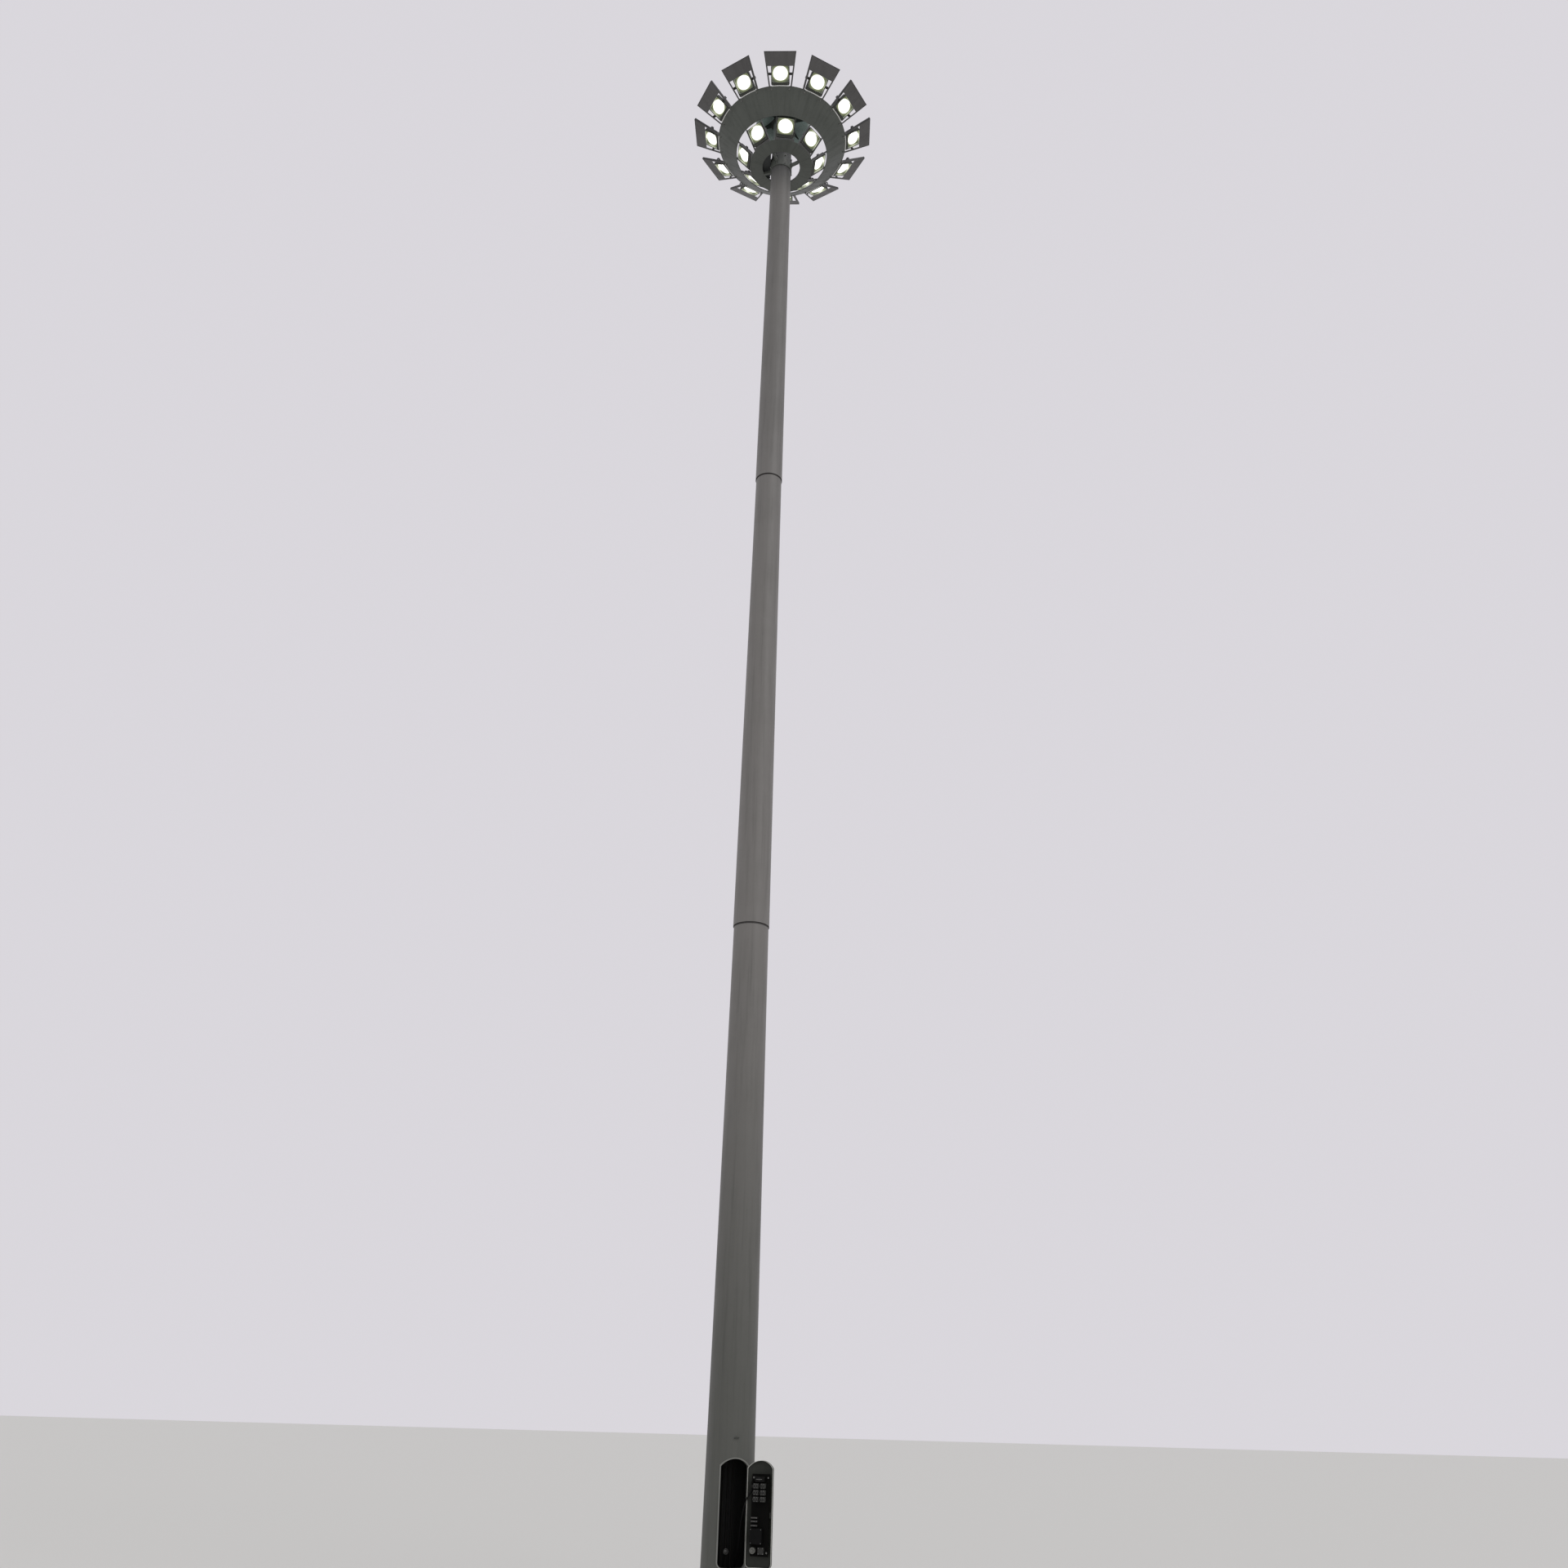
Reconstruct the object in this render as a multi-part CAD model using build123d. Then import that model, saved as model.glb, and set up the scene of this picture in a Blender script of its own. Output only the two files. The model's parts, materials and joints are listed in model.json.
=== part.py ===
from build123d import *
import os
from math import atan2, cos, degrees, hypot, radians, sin, sqrt, tan

# High mast floodlight tower, three slip-jointed steel tubes with a two-tier crown of lamps.
# Millimetres, +Z up. The origin is the centre of the base flange's underside, and the
# access door faces -Y. An azimuth is measured from -Y towards +X, in degrees.

# Shaft tubes
BASE_DIAMETER = 478.0
SHAFT_WALL = 8.0
LOWER_TAPER = 0.0140
MIDDLE_TAPER = 0.0115
UPPER_TAPER = 0.0087
FIRST_JOINT = 6580.0
SECOND_JOINT = 12790.0
FIRST_OVERLAP = 600.0
SECOND_OVERLAP = 520.0
SHAFT_TOP = 19640.0
SEAT_GAP = 0.3
FOOT_TOP = 1500.0

# Base flange
FLANGE_DIAMETER = 780.0
FLANGE_THICKNESS = 25.0
FLANGE_BORE = 380.0
BOLT_CIRCLE = 660.0
BOLT_HOLE = 34.0
BOLT_COUNT = 12
GUSSET_WIDTH = 118.0
GUSSET_HEIGHT = 190.0
GUSSET_THICKNESS = 12.0
GUSSET_TOE = 22.0

# Access door
DOOR_SILL = 430.0
DOOR_WIDTH = 260.0
DOOR_HEIGHT = 878.0
DOOR_ARCH_RISE = 64.0
DOOR_CORNER = 45.0
DOOR_FRAME_WIDTH = 10.0
DOOR_FRAME_DEPTH = 42.0
DOOR_FRAME_PROUD = 3.0
LEAF_GAP = 7.0
LEAF_THICKNESS = 5.0
LEAF_RIM_DEPTH = 20.0
LEAF_RIM_THICKNESS = 4.0
LEAF_OPEN_ANGLE = 150.0

# Door hinges
HINGE_AZIMUTH = 30.6
HINGE_STAND_OFF = 17.2
HINGE_RADIUS = 9.0
HINGE_PIN_RADIUS = 4.5
HINGE_PIN_PLAY = 0.1
HINGE_LENGTH = 90.0
HINGE_PLATE = 5.0
HINGE_HEIGHTS = (640.0, 1080.0)
HINGE_GAP = 1.0
HINGE_PIN_END = 5.0
STRAP_REACH = 62.0
STRAP_PAD = 24.0
STRAP_ROOT = 33.0
BRACKET_REACH = 52.0
BRACKET_HEEL = 16.0
BRACKET_ROOT = 60.0

# Switchgear on the leaf
BOARD_SPAN = (-90.0, 78.0)
BOARD_BOTTOM = 530.0
BOARD_TOP = 1190.0
BOARD_THICKNESS = 4.0
BOARD_STAND_OFF = 47.0
STUD_RADIUS = 5.0
STUD_INSET_X = 16.0
STUD_INSET_Z = 30.0
MODULE_DEPTH = 58.0
MODULE_SHOULDER = 0.78
MODULE_NOSE = (0.3, 0.7)
MAIN_SWITCH = (-6.0, 1126.0, 84.0, 43.0)
BREAKER_ROWS = (1072.0, 1018.0, 964.0)
BREAKER_COLUMNS = ((-34.0, 41.0), (29.0, 49.0))
BREAKER_HEIGHT = 41.0
TERMINAL_LEVELS = (828.0, 800.0, 766.0)
TERMINAL_SPAN = (10.0, 70.0)
TERMINAL_HEIGHT = 16.0
TERMINAL_DEPTH = 34.0
RELAY_SPAN = (-38.0, 74.0)
RELAY_LEVELS = (628.0, 752.0)
RELAY_DEPTH = 46.0
FUSE_BASE = (48.0, 577.0)
FUSE_RADIUS = 26.0
FUSE_BORE = 13.0
FUSE_BORE_DEPTH = 18.0
BALLAST_SPAN = (-56.0, -4.0)
BALLAST_LEVELS = (549.0, 603.0)
BALLAST_DEPTH = 40.0
GLAND_WIDTH = 18.0
GLAND_HEIGHT = 30.0
GLAND_LEVEL = 1100.0
LOCK_RADIUS = 12.0
LOCK_INSET = 22.0
LOCK_PROUD = 6.0
LOCK_LENGTH = 24.0
CAM_HALF_WIDTH = 7.0
CAM_THICKNESS = 4.0
CAM_REACH_DOWN = 34.0
CAM_REACH_UP = 12.0

# Small lug above the door
LUG_WIDTH = 42.0
LUG_HEIGHT = 10.0
LUG_DEPTH = 14.0
LUG_LEVEL = 1478.0

# Cables inside the shaft
RISER_RADIUS = 11.0
RISER_SPACING = 46.0
RISER_OFFSET = 60.0
RISER_BOTTOM = 240.0
CLEAT_LEVELS = (256.0, 1500.0, 6200.0, 12300.0, SHAFT_TOP - 1140.0)
CLEAT_HEIGHT = 30.0
CLEAT_THICKNESS = 6.0

# Cable from the leaf into the shaft, clipped at its end to the lowest cleat. Each arc takes
# CABLE_SHARE of the shorter of its two runs.
CABLE_RADIUS = 6.5
CABLE_SHARE = 0.45
CABLE_FIRST_RUN = 45.0
CABLE_END_X = 70.0
CABLE_END_RUN = 50.0
CABLE_END_DROP = 6.0

# Inner ring of the crown
INNER_RING_RADIUS = 467.0
INNER_RING_BORE = 282.0
CROWN_DROP = 934.0
INNER_RING_LEVEL = SHAFT_TOP - CROWN_DROP
INNER_RING_RISE = 29.0
INNER_RING_SHEET = 6.0
INNER_LIP_HEIGHT = 30.0

# Hub and spokes
HUB_HEIGHT = 240.0
HUB_WALL = 12.0
HUB_DROP = 110.0
SPOKE_COUNT = 4
SPOKE_PHASE = 52.0
SPOKE_WIDTH = 32.0
SPOKE_HEIGHT = 50.0
SPOKE_ROOT_DROP = 46.0
SPOKE_TIP_DROP = 20.0

# Outer band of the crown
BAND_LOWER_RADIUS = 690.0
BAND_LOWER_LIFT = 269.0
BAND_LOWER_LEVEL = INNER_RING_LEVEL + BAND_LOWER_LIFT
BAND_UPPER_RADIUS = 969.0
BAND_UPPER_LIFT = 541.0
BAND_UPPER_LEVEL = INNER_RING_LEVEL + BAND_UPPER_LIFT
BAND_SHEET = 5.0

# Outer petals
OUTER_COUNT = 12
OUTER_PHASE = 13.5
PETAL_TILT = 33.6
PETAL_LENGTH = 444.0
PETAL_HALF_ANGLE = 10.0
PETAL_SHEET = 4.0
PETAL_RAIL = 21.0
PETAL_FLANGE = 30.0
PETAL_WINDOW = 254.0
PETAL_ROOT = 24.0

# Inner frames
INNER_COUNT = 8
INNER_PHASE = -9.0
FRAME_RAIL = 5.0
FRAME_RAIL_DEPTH = 30.0
FRAME_HALF_WIDTH = 140.0
FRAME_FOOT = 45.0

# Lamps
LAMP_WIDTH = 268.0
LAMP_LENGTH = 262.0
LAMP_DEPTH = 58.0
LAMP_CORNER = 22.0
LAMP_BEVEL = 8.0
OUTER_LAMP_START = 3.0
INNER_LAMP_START = 50.0
LENS_WIDTH = 244.0
LENS_LENGTH = 214.0
LENS_START = 41.0
LENS_POCKET = 34.0
LENS_THICKNESS = 5.0
LENS_GAP = 0.3
LAMP_SEAT = 0.3
FIN_COUNT = 8
FIN_SLOT = 14.0
FIN_DEPTH = 18.0
FIN_LENGTH = 196.0
FIN_MARGIN = 20.0
STRAP_WIDTH = 36.0
STRAP_THICKNESS = 5.0
OUTER_STRAP = 150.0
INNER_STRAP = 190.0
FOOT_PLATE_LENGTH = 42.0
FOOT_PLATE_SHEET = 4.0

# Rain hood
HOOD_RADIUS = 385.0
HOOD_DROP = 40.0
HOOD_LEVEL = SHAFT_TOP - HOOD_DROP
HOOD_LIP = 36.0
HOOD_RISE = 250.0
HOOD_CROWN = 60.0
HOOD_SHEET = 4.0
TOP_PLATE_RADIUS = 175.0
TOP_PLATE_THICKNESS = 12.0
HOOD_RIBS = 6
HOOD_RIB_THICKNESS = 6.0
HOOD_RIB_INSET = 40.0
HOOD_RIB_START = 10.0
HOOD_RIB_TIP = 20.0

# Junction box beside the shaft, over the ring's bore
BOX_WIDTH = 460.0
BOX_HEIGHT = 190.0
BOX_DEPTH = 125.0
BOX_AZIMUTH = -103.0
BOX_CLEARANCE = 9.0

# How far a cutting shape runs past what it cuts, and past an edge that stays
CUT = 60.0
CUT_MARGIN = 1.0

UPRIGHT = (Align.CENTER, Align.CENTER, Align.MIN)


def lower_radius(z):
    """Outer radius of the lower tube at height z."""
    return BASE_DIAMETER / 2 - LOWER_TAPER / 2 * z


def middle_radius(z):
    """Outer radius of the middle tube, which slips over the lower one."""
    foot = lower_radius(FIRST_JOINT) + SEAT_GAP + SHAFT_WALL
    return foot - MIDDLE_TAPER / 2 * (z - FIRST_JOINT)


def upper_radius(z):
    """Outer radius of the upper tube, which slips over the middle one."""
    foot = middle_radius(SECOND_JOINT) + SEAT_GAP + SHAFT_WALL
    return foot - UPPER_TAPER / 2 * (z - SECOND_JOINT)


def revolved(points):
    """Solid of revolution about the mast's axis, from (radius, height) points."""
    outline = Polyline([(r, 0, z) for r, z in points], close=True)
    return revolve(make_face(outline), Axis.Z)


def plate_xz(points, thickness):
    """Flat plate through the axis, from (x, z) points, centred on the plane y = 0."""
    face = make_face(Polyline([(x, 0, z) for x, z in points], close=True))
    return extrude(face, thickness / 2, both=True)


def at_azimuth(shape, azimuth):
    """Turn a shape that was built towards -Y to the given azimuth."""
    return shape.rotate(Axis.Z, azimuth)


def radial(points, thickness, azimuth):
    """Radial plate at an azimuth, from (radius, height) points."""
    return plate_xz(points, thickness).rotate(Axis.Z, azimuth - 90)


def box(x0, x1, y0, y1, z0, z1):
    """Block between two corners."""
    return Pos(x0, y0, z0) * Box(x1 - x0, y1 - y0, z1 - z0, align=Align.MIN)


def tube(radius, bottom, top, wall):
    """Tapered tube whose outer radius is a function of height."""
    return revolved(
        [
            (radius(bottom) - wall, bottom),
            (radius(bottom), bottom),
            (radius(top), top),
            (radius(top) - wall, top),
        ]
    )


def door_outline(grow):
    """Outline of the door opening on the XZ plane, grown on all sides by grow."""
    half = DOOR_WIDTH / 2 + grow
    sill = DOOR_SILL - grow
    head = DOOR_SILL + DOOR_HEIGHT + grow
    spring = head - DOOR_ARCH_RISE
    corner = DOOR_CORNER + grow
    lines = Polyline([(half, 0, spring), (half, 0, sill), (-half, 0, sill), (-half, 0, spring)])
    arch = ThreePointArc((-half, 0, spring), (0, 0, head), (half, 0, spring))
    face = make_face(lines + arch)
    low = face.vertices().group_by(Axis.Z)[0]
    return fillet(low, corner)


def door_prism(grow):
    """Block through the front wall of the shaft with the door's outline."""
    return extrude(door_outline(grow), BASE_DIAMETER / 2 + CUT, dir=(0, -1, 0))


def skin(inner, outer):
    """Conical skin about the lower tube, between two offsets from its outer face."""
    bottom = DOOR_SILL - 2 * CUT
    top = LUG_LEVEL + CUT
    return revolved(
        [
            (lower_radius(bottom) + inner, bottom),
            (lower_radius(bottom) + outer, bottom),
            (lower_radius(top) + outer, top),
            (lower_radius(top) + inner, top),
        ]
    )


# Base flange with its bolt circle and cable bore
base_flange = Cylinder(FLANGE_DIAMETER / 2, FLANGE_THICKNESS, align=UPRIGHT)
base_flange -= Cylinder(FLANGE_BORE / 2, 3 * FLANGE_THICKNESS)
for bolt in range(BOLT_COUNT):
    hole = Pos(0, -BOLT_CIRCLE / 2, 0) * Cylinder(BOLT_HOLE / 2, 3 * FLANGE_THICKNESS)
    base_flange -= at_azimuth(hole, (bolt + 0.5) * 360 / BOLT_COUNT)

# Gussets between the bolts
gusset_foot = FLANGE_THICKNESS
gusset_head = FLANGE_THICKNESS + GUSSET_HEIGHT
gusset_points = [
    (lower_radius(gusset_foot) + SEAT_GAP, gusset_foot),
    (lower_radius(gusset_foot) + GUSSET_WIDTH, gusset_foot),
    (lower_radius(gusset_foot) + GUSSET_WIDTH, gusset_foot + GUSSET_TOE),
    (lower_radius(gusset_head) + GUSSET_TOE, gusset_head),
    (lower_radius(gusset_head) + SEAT_GAP, gusset_head),
]
base_gussets = [
    radial(gusset_points, GUSSET_THICKNESS, rib * 360 / BOLT_COUNT) for rib in range(BOLT_COUNT)
]

# Shaft foot with the door cut, butt-welded to the tapered tube above it
shaft_foot = tube(lower_radius, FLANGE_THICKNESS, FOOT_TOP, SHAFT_WALL)
shaft_foot -= door_prism(DOOR_FRAME_WIDTH + SEAT_GAP)

# Shaft tubes, each slipped over the one below
lower_shaft = tube(lower_radius, FOOT_TOP, FIRST_JOINT + FIRST_OVERLAP, SHAFT_WALL)
middle_shaft = tube(middle_radius, FIRST_JOINT, SECOND_JOINT + SECOND_OVERLAP, SHAFT_WALL)
upper_shaft = tube(upper_radius, SECOND_JOINT, SHAFT_TOP, SHAFT_WALL)

# Door frame lining the cut in the wall
door_frame = skin(-DOOR_FRAME_DEPTH, DOOR_FRAME_PROUD) & door_prism(DOOR_FRAME_WIDTH)
door_frame -= door_prism(0)

# Hinge line, straight up beside the opening
hinge_radius_out = lower_radius(DOOR_SILL + DOOR_HEIGHT / 2) + HINGE_STAND_OFF
hinge_x = hinge_radius_out * sin(radians(HINGE_AZIMUTH))
hinge_y = -hinge_radius_out * cos(radians(HINGE_AZIMUTH))
hinge_axis = Axis((hinge_x, hinge_y, 0), (0, 0, 1))


def opened(shape):
    """Swing a shape of the closed leaf to its open rest position."""
    return shape.rotate(hinge_axis, LEAF_OPEN_ANGLE)


# Door leaf: a curved sheet with a folded rim, swung open
leaf_face = skin(-LEAF_THICKNESS, 0) & door_prism(-LEAF_GAP)
leaf_rim = skin(-LEAF_RIM_DEPTH, 0) & door_prism(-LEAF_GAP)
leaf_rim -= door_prism(-LEAF_GAP - LEAF_RIM_THICKNESS)
door_leaf = leaf_face + leaf_rim

# Key lock near the leaf's free edge, with its cam inside
lock_x = LEAF_GAP + LOCK_INSET - DOOR_WIDTH / 2
lock_z = DOOR_SILL + DOOR_HEIGHT / 2
lock_y = -sqrt(lower_radius(lock_z) ** 2 - lock_x**2)
lock = Cylinder(LOCK_RADIUS, LOCK_LENGTH, align=UPRIGHT)
cam_y = lock_y - LOCK_PROUD + LOCK_LENGTH
door_leaf += Pos(lock_x, lock_y - LOCK_PROUD, lock_z) * (Rot(-90, 0, 0) * lock)
door_leaf += box(
    lock_x - CAM_HALF_WIDTH,
    lock_x + CAM_HALF_WIDTH,
    cam_y,
    cam_y + CAM_THICKNESS,
    lock_z - CAM_REACH_DOWN,
    lock_z + CAM_REACH_UP,
)


def knuckle(low, high):
    """Hinge barrel section about the hinge line."""
    return Pos(hinge_x, hinge_y, low) * Cylinder(HINGE_RADIUS, high - low, align=UPRIGHT)


def at_hinge(shape):
    """Place a shape drawn about the hinge line: x along the shaft's face, y inwards before the turn."""
    return Pos(hinge_x, hinge_y, 0) * shape.mirror(Plane.XZ).rotate(Axis.Z, HINGE_AZIMUTH)


def leaf_strap(low, high):
    """Strap from the hinge line to the leaf, with a pad that dives to the leaf's sheet."""
    face = HINGE_RADIUS - HINGE_PLATE
    arm = box(-STRAP_REACH, 0, face, HINGE_RADIUS, low, high)
    arm += box(-STRAP_REACH, STRAP_PAD - STRAP_REACH, -STRAP_ROOT, face, low, high)
    arm = at_hinge(arm) - skin(-CUT, 1 - LEAF_THICKNESS)
    return arm + knuckle(low, high)


def shaft_bracket(low, high):
    """Bracket from the hinge line to the shaft, with a heel that stands on the shaft's face."""
    face = HINGE_PLATE - HINGE_RADIUS
    arm = box(0, BRACKET_REACH, -HINGE_RADIUS, face, low, high)
    arm += box(BRACKET_REACH - BRACKET_HEEL, BRACKET_REACH, -BRACKET_ROOT, face, low, high)
    arm = at_hinge(arm) - skin(-2 * CUT, SEAT_GAP)
    return arm + knuckle(low, high)


# Hinge straps on the leaf between pairs of brackets on the shaft, with the pin through them
third = HINGE_LENGTH / 3
hinge_brackets = []
for level in HINGE_HEIGHTS:
    low = level - third / 2
    high = level + third / 2
    pin_at = Pos(hinge_x, hinge_y, level)
    door_leaf += leaf_strap(low, high)
    door_leaf -= pin_at * Cylinder(HINGE_PIN_RADIUS + HINGE_PIN_PLAY, 2 * HINGE_LENGTH)
    bracket = shaft_bracket(low - third, low - HINGE_GAP) + shaft_bracket(high + HINGE_GAP, high + third)
    bracket += pin_at * Cylinder(HINGE_PIN_RADIUS, HINGE_LENGTH + 2 * HINGE_PIN_END)
    hinge_brackets.append(bracket)

# Switchgear board on studs behind the leaf, with its rows of modules
board_y = -lower_radius(DOOR_SILL + DOOR_HEIGHT / 2) + BOARD_STAND_OFF
gear_board = box(*BOARD_SPAN, board_y, board_y + BOARD_THICKNESS, BOARD_BOTTOM, BOARD_TOP)
for stud_x in (BOARD_SPAN[0] + STUD_INSET_X, BOARD_SPAN[1] - STUD_INSET_X):
    for stud_z in (BOARD_BOTTOM + STUD_INSET_Z, BOARD_TOP - STUD_INSET_Z):
        depth = lower_radius(stud_z) - LEAF_THICKNESS
        wall_y = -sqrt(depth**2 - (abs(stud_x) + STUD_RADIUS) ** 2) + SEAT_GAP
        stud = Cylinder(STUD_RADIUS, board_y - wall_y, align=UPRIGHT)
        gear_board += Pos(stud_x, wall_y, stud_z) * (Rot(-90, 0, 0) * stud)
front_y = board_y + BOARD_THICKNESS
gland_x = BOARD_SPAN[1] - GLAND_WIDTH / 2
gland_y = front_y + GLAND_WIDTH / 2
gear_board += box(
    gland_x - GLAND_WIDTH / 2,
    gland_x + GLAND_WIDTH / 2,
    front_y,
    front_y + GLAND_WIDTH,
    GLAND_LEVEL,
    GLAND_LEVEL + GLAND_HEIGHT,
)


def module(x, z, width, height):
    """Switchgear module standing on the board, with a raised centre as breakers have."""
    nose_low = z + height * MODULE_NOSE[0]
    nose_high = z + height * MODULE_NOSE[1]
    body = box(x - width / 2, x + width / 2, front_y, front_y + MODULE_DEPTH * MODULE_SHOULDER, z, z + height)
    return body + box(x - width / 2, x + width / 2, front_y, front_y + MODULE_DEPTH, nose_low, nose_high)


def on_board(span, levels, depth):
    """Block on the board, from its span across, its levels and its depth."""
    return box(span[0], span[1], front_y, front_y + depth, levels[0], levels[1])


switch_modules = [module(*MAIN_SWITCH)]
for row_z in BREAKER_ROWS:
    for column_x, width in BREAKER_COLUMNS:
        switch_modules.append(module(column_x, row_z, width, BREAKER_HEIGHT))
terminal_blocks = [on_board(RELAY_SPAN, RELAY_LEVELS, RELAY_DEPTH)]
for strip_z in TERMINAL_LEVELS:
    terminal_blocks.append(on_board(TERMINAL_SPAN, (strip_z, strip_z + TERMINAL_HEIGHT), TERMINAL_DEPTH))


def fuse_base():
    """Round screw-in fuse base on the board, hollow at its front."""
    body = Cylinder(FUSE_RADIUS, BALLAST_DEPTH, align=UPRIGHT)
    body -= Pos(0, 0, BALLAST_DEPTH - FUSE_BORE_DEPTH) * Cylinder(FUSE_BORE, BALLAST_DEPTH, align=UPRIGHT)
    return Pos(FUSE_BASE[0], front_y, FUSE_BASE[1]) * (Rot(-90, 0, 0) * body)


ballast_units = [fuse_base(), on_board(BALLAST_SPAN, BALLAST_LEVELS, BALLAST_DEPTH)]

# Small lug on the shaft above the door
lug_y = -lower_radius(LUG_LEVEL) - LUG_DEPTH
lug_top = LUG_LEVEL + LUG_HEIGHT
shaft_lug = box(-LUG_WIDTH / 2, LUG_WIDTH / 2, lug_y, lug_y + 2 * LUG_DEPTH, LUG_LEVEL, lug_top)
shaft_lug -= skin(-3 * LUG_DEPTH, SEAT_GAP)

# Cables that run up inside the shaft
riser_top = INNER_RING_LEVEL + INNER_LIP_HEIGHT
riser_cables = []
for offset in (-RISER_SPACING, 0, RISER_SPACING):
    core = Cylinder(RISER_RADIUS, riser_top - RISER_BOTTOM, align=UPRIGHT)
    riser_cables.append(Pos(offset, RISER_OFFSET, RISER_BOTTOM) * core)

cable_cleats = []
cleat_y = RISER_OFFSET + RISER_RADIUS + SEAT_GAP


def bore_radius(z):
    """Inner radius of the innermost tube at height z."""
    if z < FIRST_JOINT + FIRST_OVERLAP:
        return lower_radius(z) - SHAFT_WALL
    if z < SECOND_JOINT + SECOND_OVERLAP:
        return middle_radius(z) - SHAFT_WALL
    return upper_radius(z) - SHAFT_WALL


for level in CLEAT_LEVELS:
    reach = bore_radius(level + CLEAT_HEIGHT) - SEAT_GAP
    half = sqrt(reach**2 - (cleat_y + CLEAT_THICKNESS) ** 2)
    cable_cleats.append(
        box(-half, half, cleat_y, cleat_y + CLEAT_THICKNESS, level, level + CLEAT_HEIGHT)
    )

# Inner ring, a shallow dished plate with an upturned lip at its bore
ring_bottom_in = INNER_RING_LEVEL
ring_bottom_out = INNER_RING_LEVEL + INNER_RING_RISE
inner_ring = revolved(
    [
        (INNER_RING_BORE, ring_bottom_in),
        (INNER_RING_RADIUS, ring_bottom_out),
        (INNER_RING_RADIUS, ring_bottom_out + INNER_RING_SHEET),
        (INNER_RING_BORE + INNER_RING_SHEET, ring_bottom_in + INNER_RING_SHEET),
        (INNER_RING_BORE + INNER_RING_SHEET, ring_bottom_in + INNER_LIP_HEIGHT),
        (INNER_RING_BORE, ring_bottom_in + INNER_LIP_HEIGHT),
    ]
)

# Hub collar round the shaft, with spokes to the inner ring
hub_bottom = INNER_RING_LEVEL - HUB_DROP
hub_top = hub_bottom + HUB_HEIGHT
ring_hub = revolved(
    [
        (upper_radius(hub_bottom) + SEAT_GAP, hub_bottom),
        (upper_radius(hub_bottom) + HUB_WALL, hub_bottom),
        (upper_radius(hub_bottom) + HUB_WALL, hub_top),
        (upper_radius(hub_top) + SEAT_GAP, hub_top),
    ]
)
spoke_root = upper_radius(hub_bottom) + HUB_WALL / 2
spoke_tip = INNER_RING_BORE - SEAT_GAP
spoke_end = INNER_RING_BORE + SPOKE_WIDTH
spoke_low = ring_bottom_in - SPOKE_ROOT_DROP
spoke_points = [
    (spoke_root, spoke_low),
    (spoke_end, ring_bottom_in - SPOKE_TIP_DROP),
    (spoke_end, ring_bottom_in - SPOKE_TIP_DROP + SPOKE_HEIGHT),
    (spoke_root, spoke_low + SPOKE_HEIGHT),
]
for spoke in range(SPOKE_COUNT):
    ring_hub += radial(spoke_points, SPOKE_WIDTH, SPOKE_PHASE + spoke * 360 / SPOKE_COUNT)
ring_hub &= Pos(0, 0, INNER_RING_LEVEL) * Cylinder(spoke_tip, 4 * HUB_HEIGHT)

# Outer band, a conical sheet
band_slope = atan2(BAND_UPPER_LEVEL - BAND_LOWER_LEVEL, BAND_UPPER_RADIUS - BAND_LOWER_RADIUS)
sheet_r = -BAND_SHEET * sin(band_slope)
sheet_z = BAND_SHEET * cos(band_slope)
outer_band = revolved(
    [
        (BAND_LOWER_RADIUS, BAND_LOWER_LEVEL),
        (BAND_UPPER_RADIUS, BAND_UPPER_LEVEL),
        (BAND_UPPER_RADIUS + sheet_r, BAND_UPPER_LEVEL + sheet_z),
        (BAND_LOWER_RADIUS + sheet_r, BAND_LOWER_LEVEL + sheet_z),
    ]
)


def band_inside(radius):
    """Height of the band's upper face at a radius."""
    outer_face = BAND_LOWER_LEVEL + (radius - BAND_LOWER_RADIUS) * tan(band_slope)
    return outer_face + BAND_SHEET / cos(band_slope)


def in_frame(shape, radius, level, tilt):
    """Place a shape drawn on a tilted frame: x across, y outwards and up, z off its back."""
    normal = (0, sin(radians(tilt)), cos(radians(tilt)))
    return Plane(origin=(0, -radius, level), x_dir=(-1, 0, 0), z_dir=normal).location * shape


def lamp_body():
    """Floodlight housing with a lens pocket in its face and cooling fins on its back."""
    half = LAMP_WIDTH / 2
    lens_half = LENS_WIDTH / 2
    body = box(-half, half, 0, LAMP_LENGTH, 0, LAMP_DEPTH)
    body = fillet(body.edges().filter_by(Axis.Z), LAMP_CORNER)
    body = chamfer(body.faces().sort_by(Axis.Z)[-1].edges(), LAMP_BEVEL)
    body -= box(-lens_half, lens_half, LENS_START, LENS_START + LENS_LENGTH, -LENS_POCKET, LENS_POCKET)
    pitch = 2 * (half - FIN_MARGIN) / FIN_COUNT
    for slot in range(FIN_COUNT):
        left = (slot - (FIN_COUNT - 1) / 2) * pitch - FIN_SLOT / 2
        floor = LAMP_DEPTH - FIN_DEPTH
        body -= box(left, left + FIN_SLOT, LENS_START, LENS_START + FIN_LENGTH, floor, floor + LAMP_DEPTH)
    return body


def lamp_lens():
    """Flat lit glass set back in the pocket of the housing."""
    half = LENS_WIDTH / 2 - LENS_GAP
    end = LENS_START + LENS_LENGTH - LENS_GAP
    back = LENS_POCKET - LENS_GAP
    return box(-half, half, LENS_START + LENS_GAP, end, back - LENS_THICKNESS, back)


# Outer petals: a sheet with folded edges, a window for the lamp and a strap over its back
petal_plane = PETAL_SHEET + LAMP_SEAT


def petal_half(y):
    """Half width of a petal at distance y from the rim."""
    return (BAND_UPPER_RADIUS + y * cos(radians(PETAL_TILT))) * tan(radians(PETAL_HALF_ANGLE))


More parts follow.
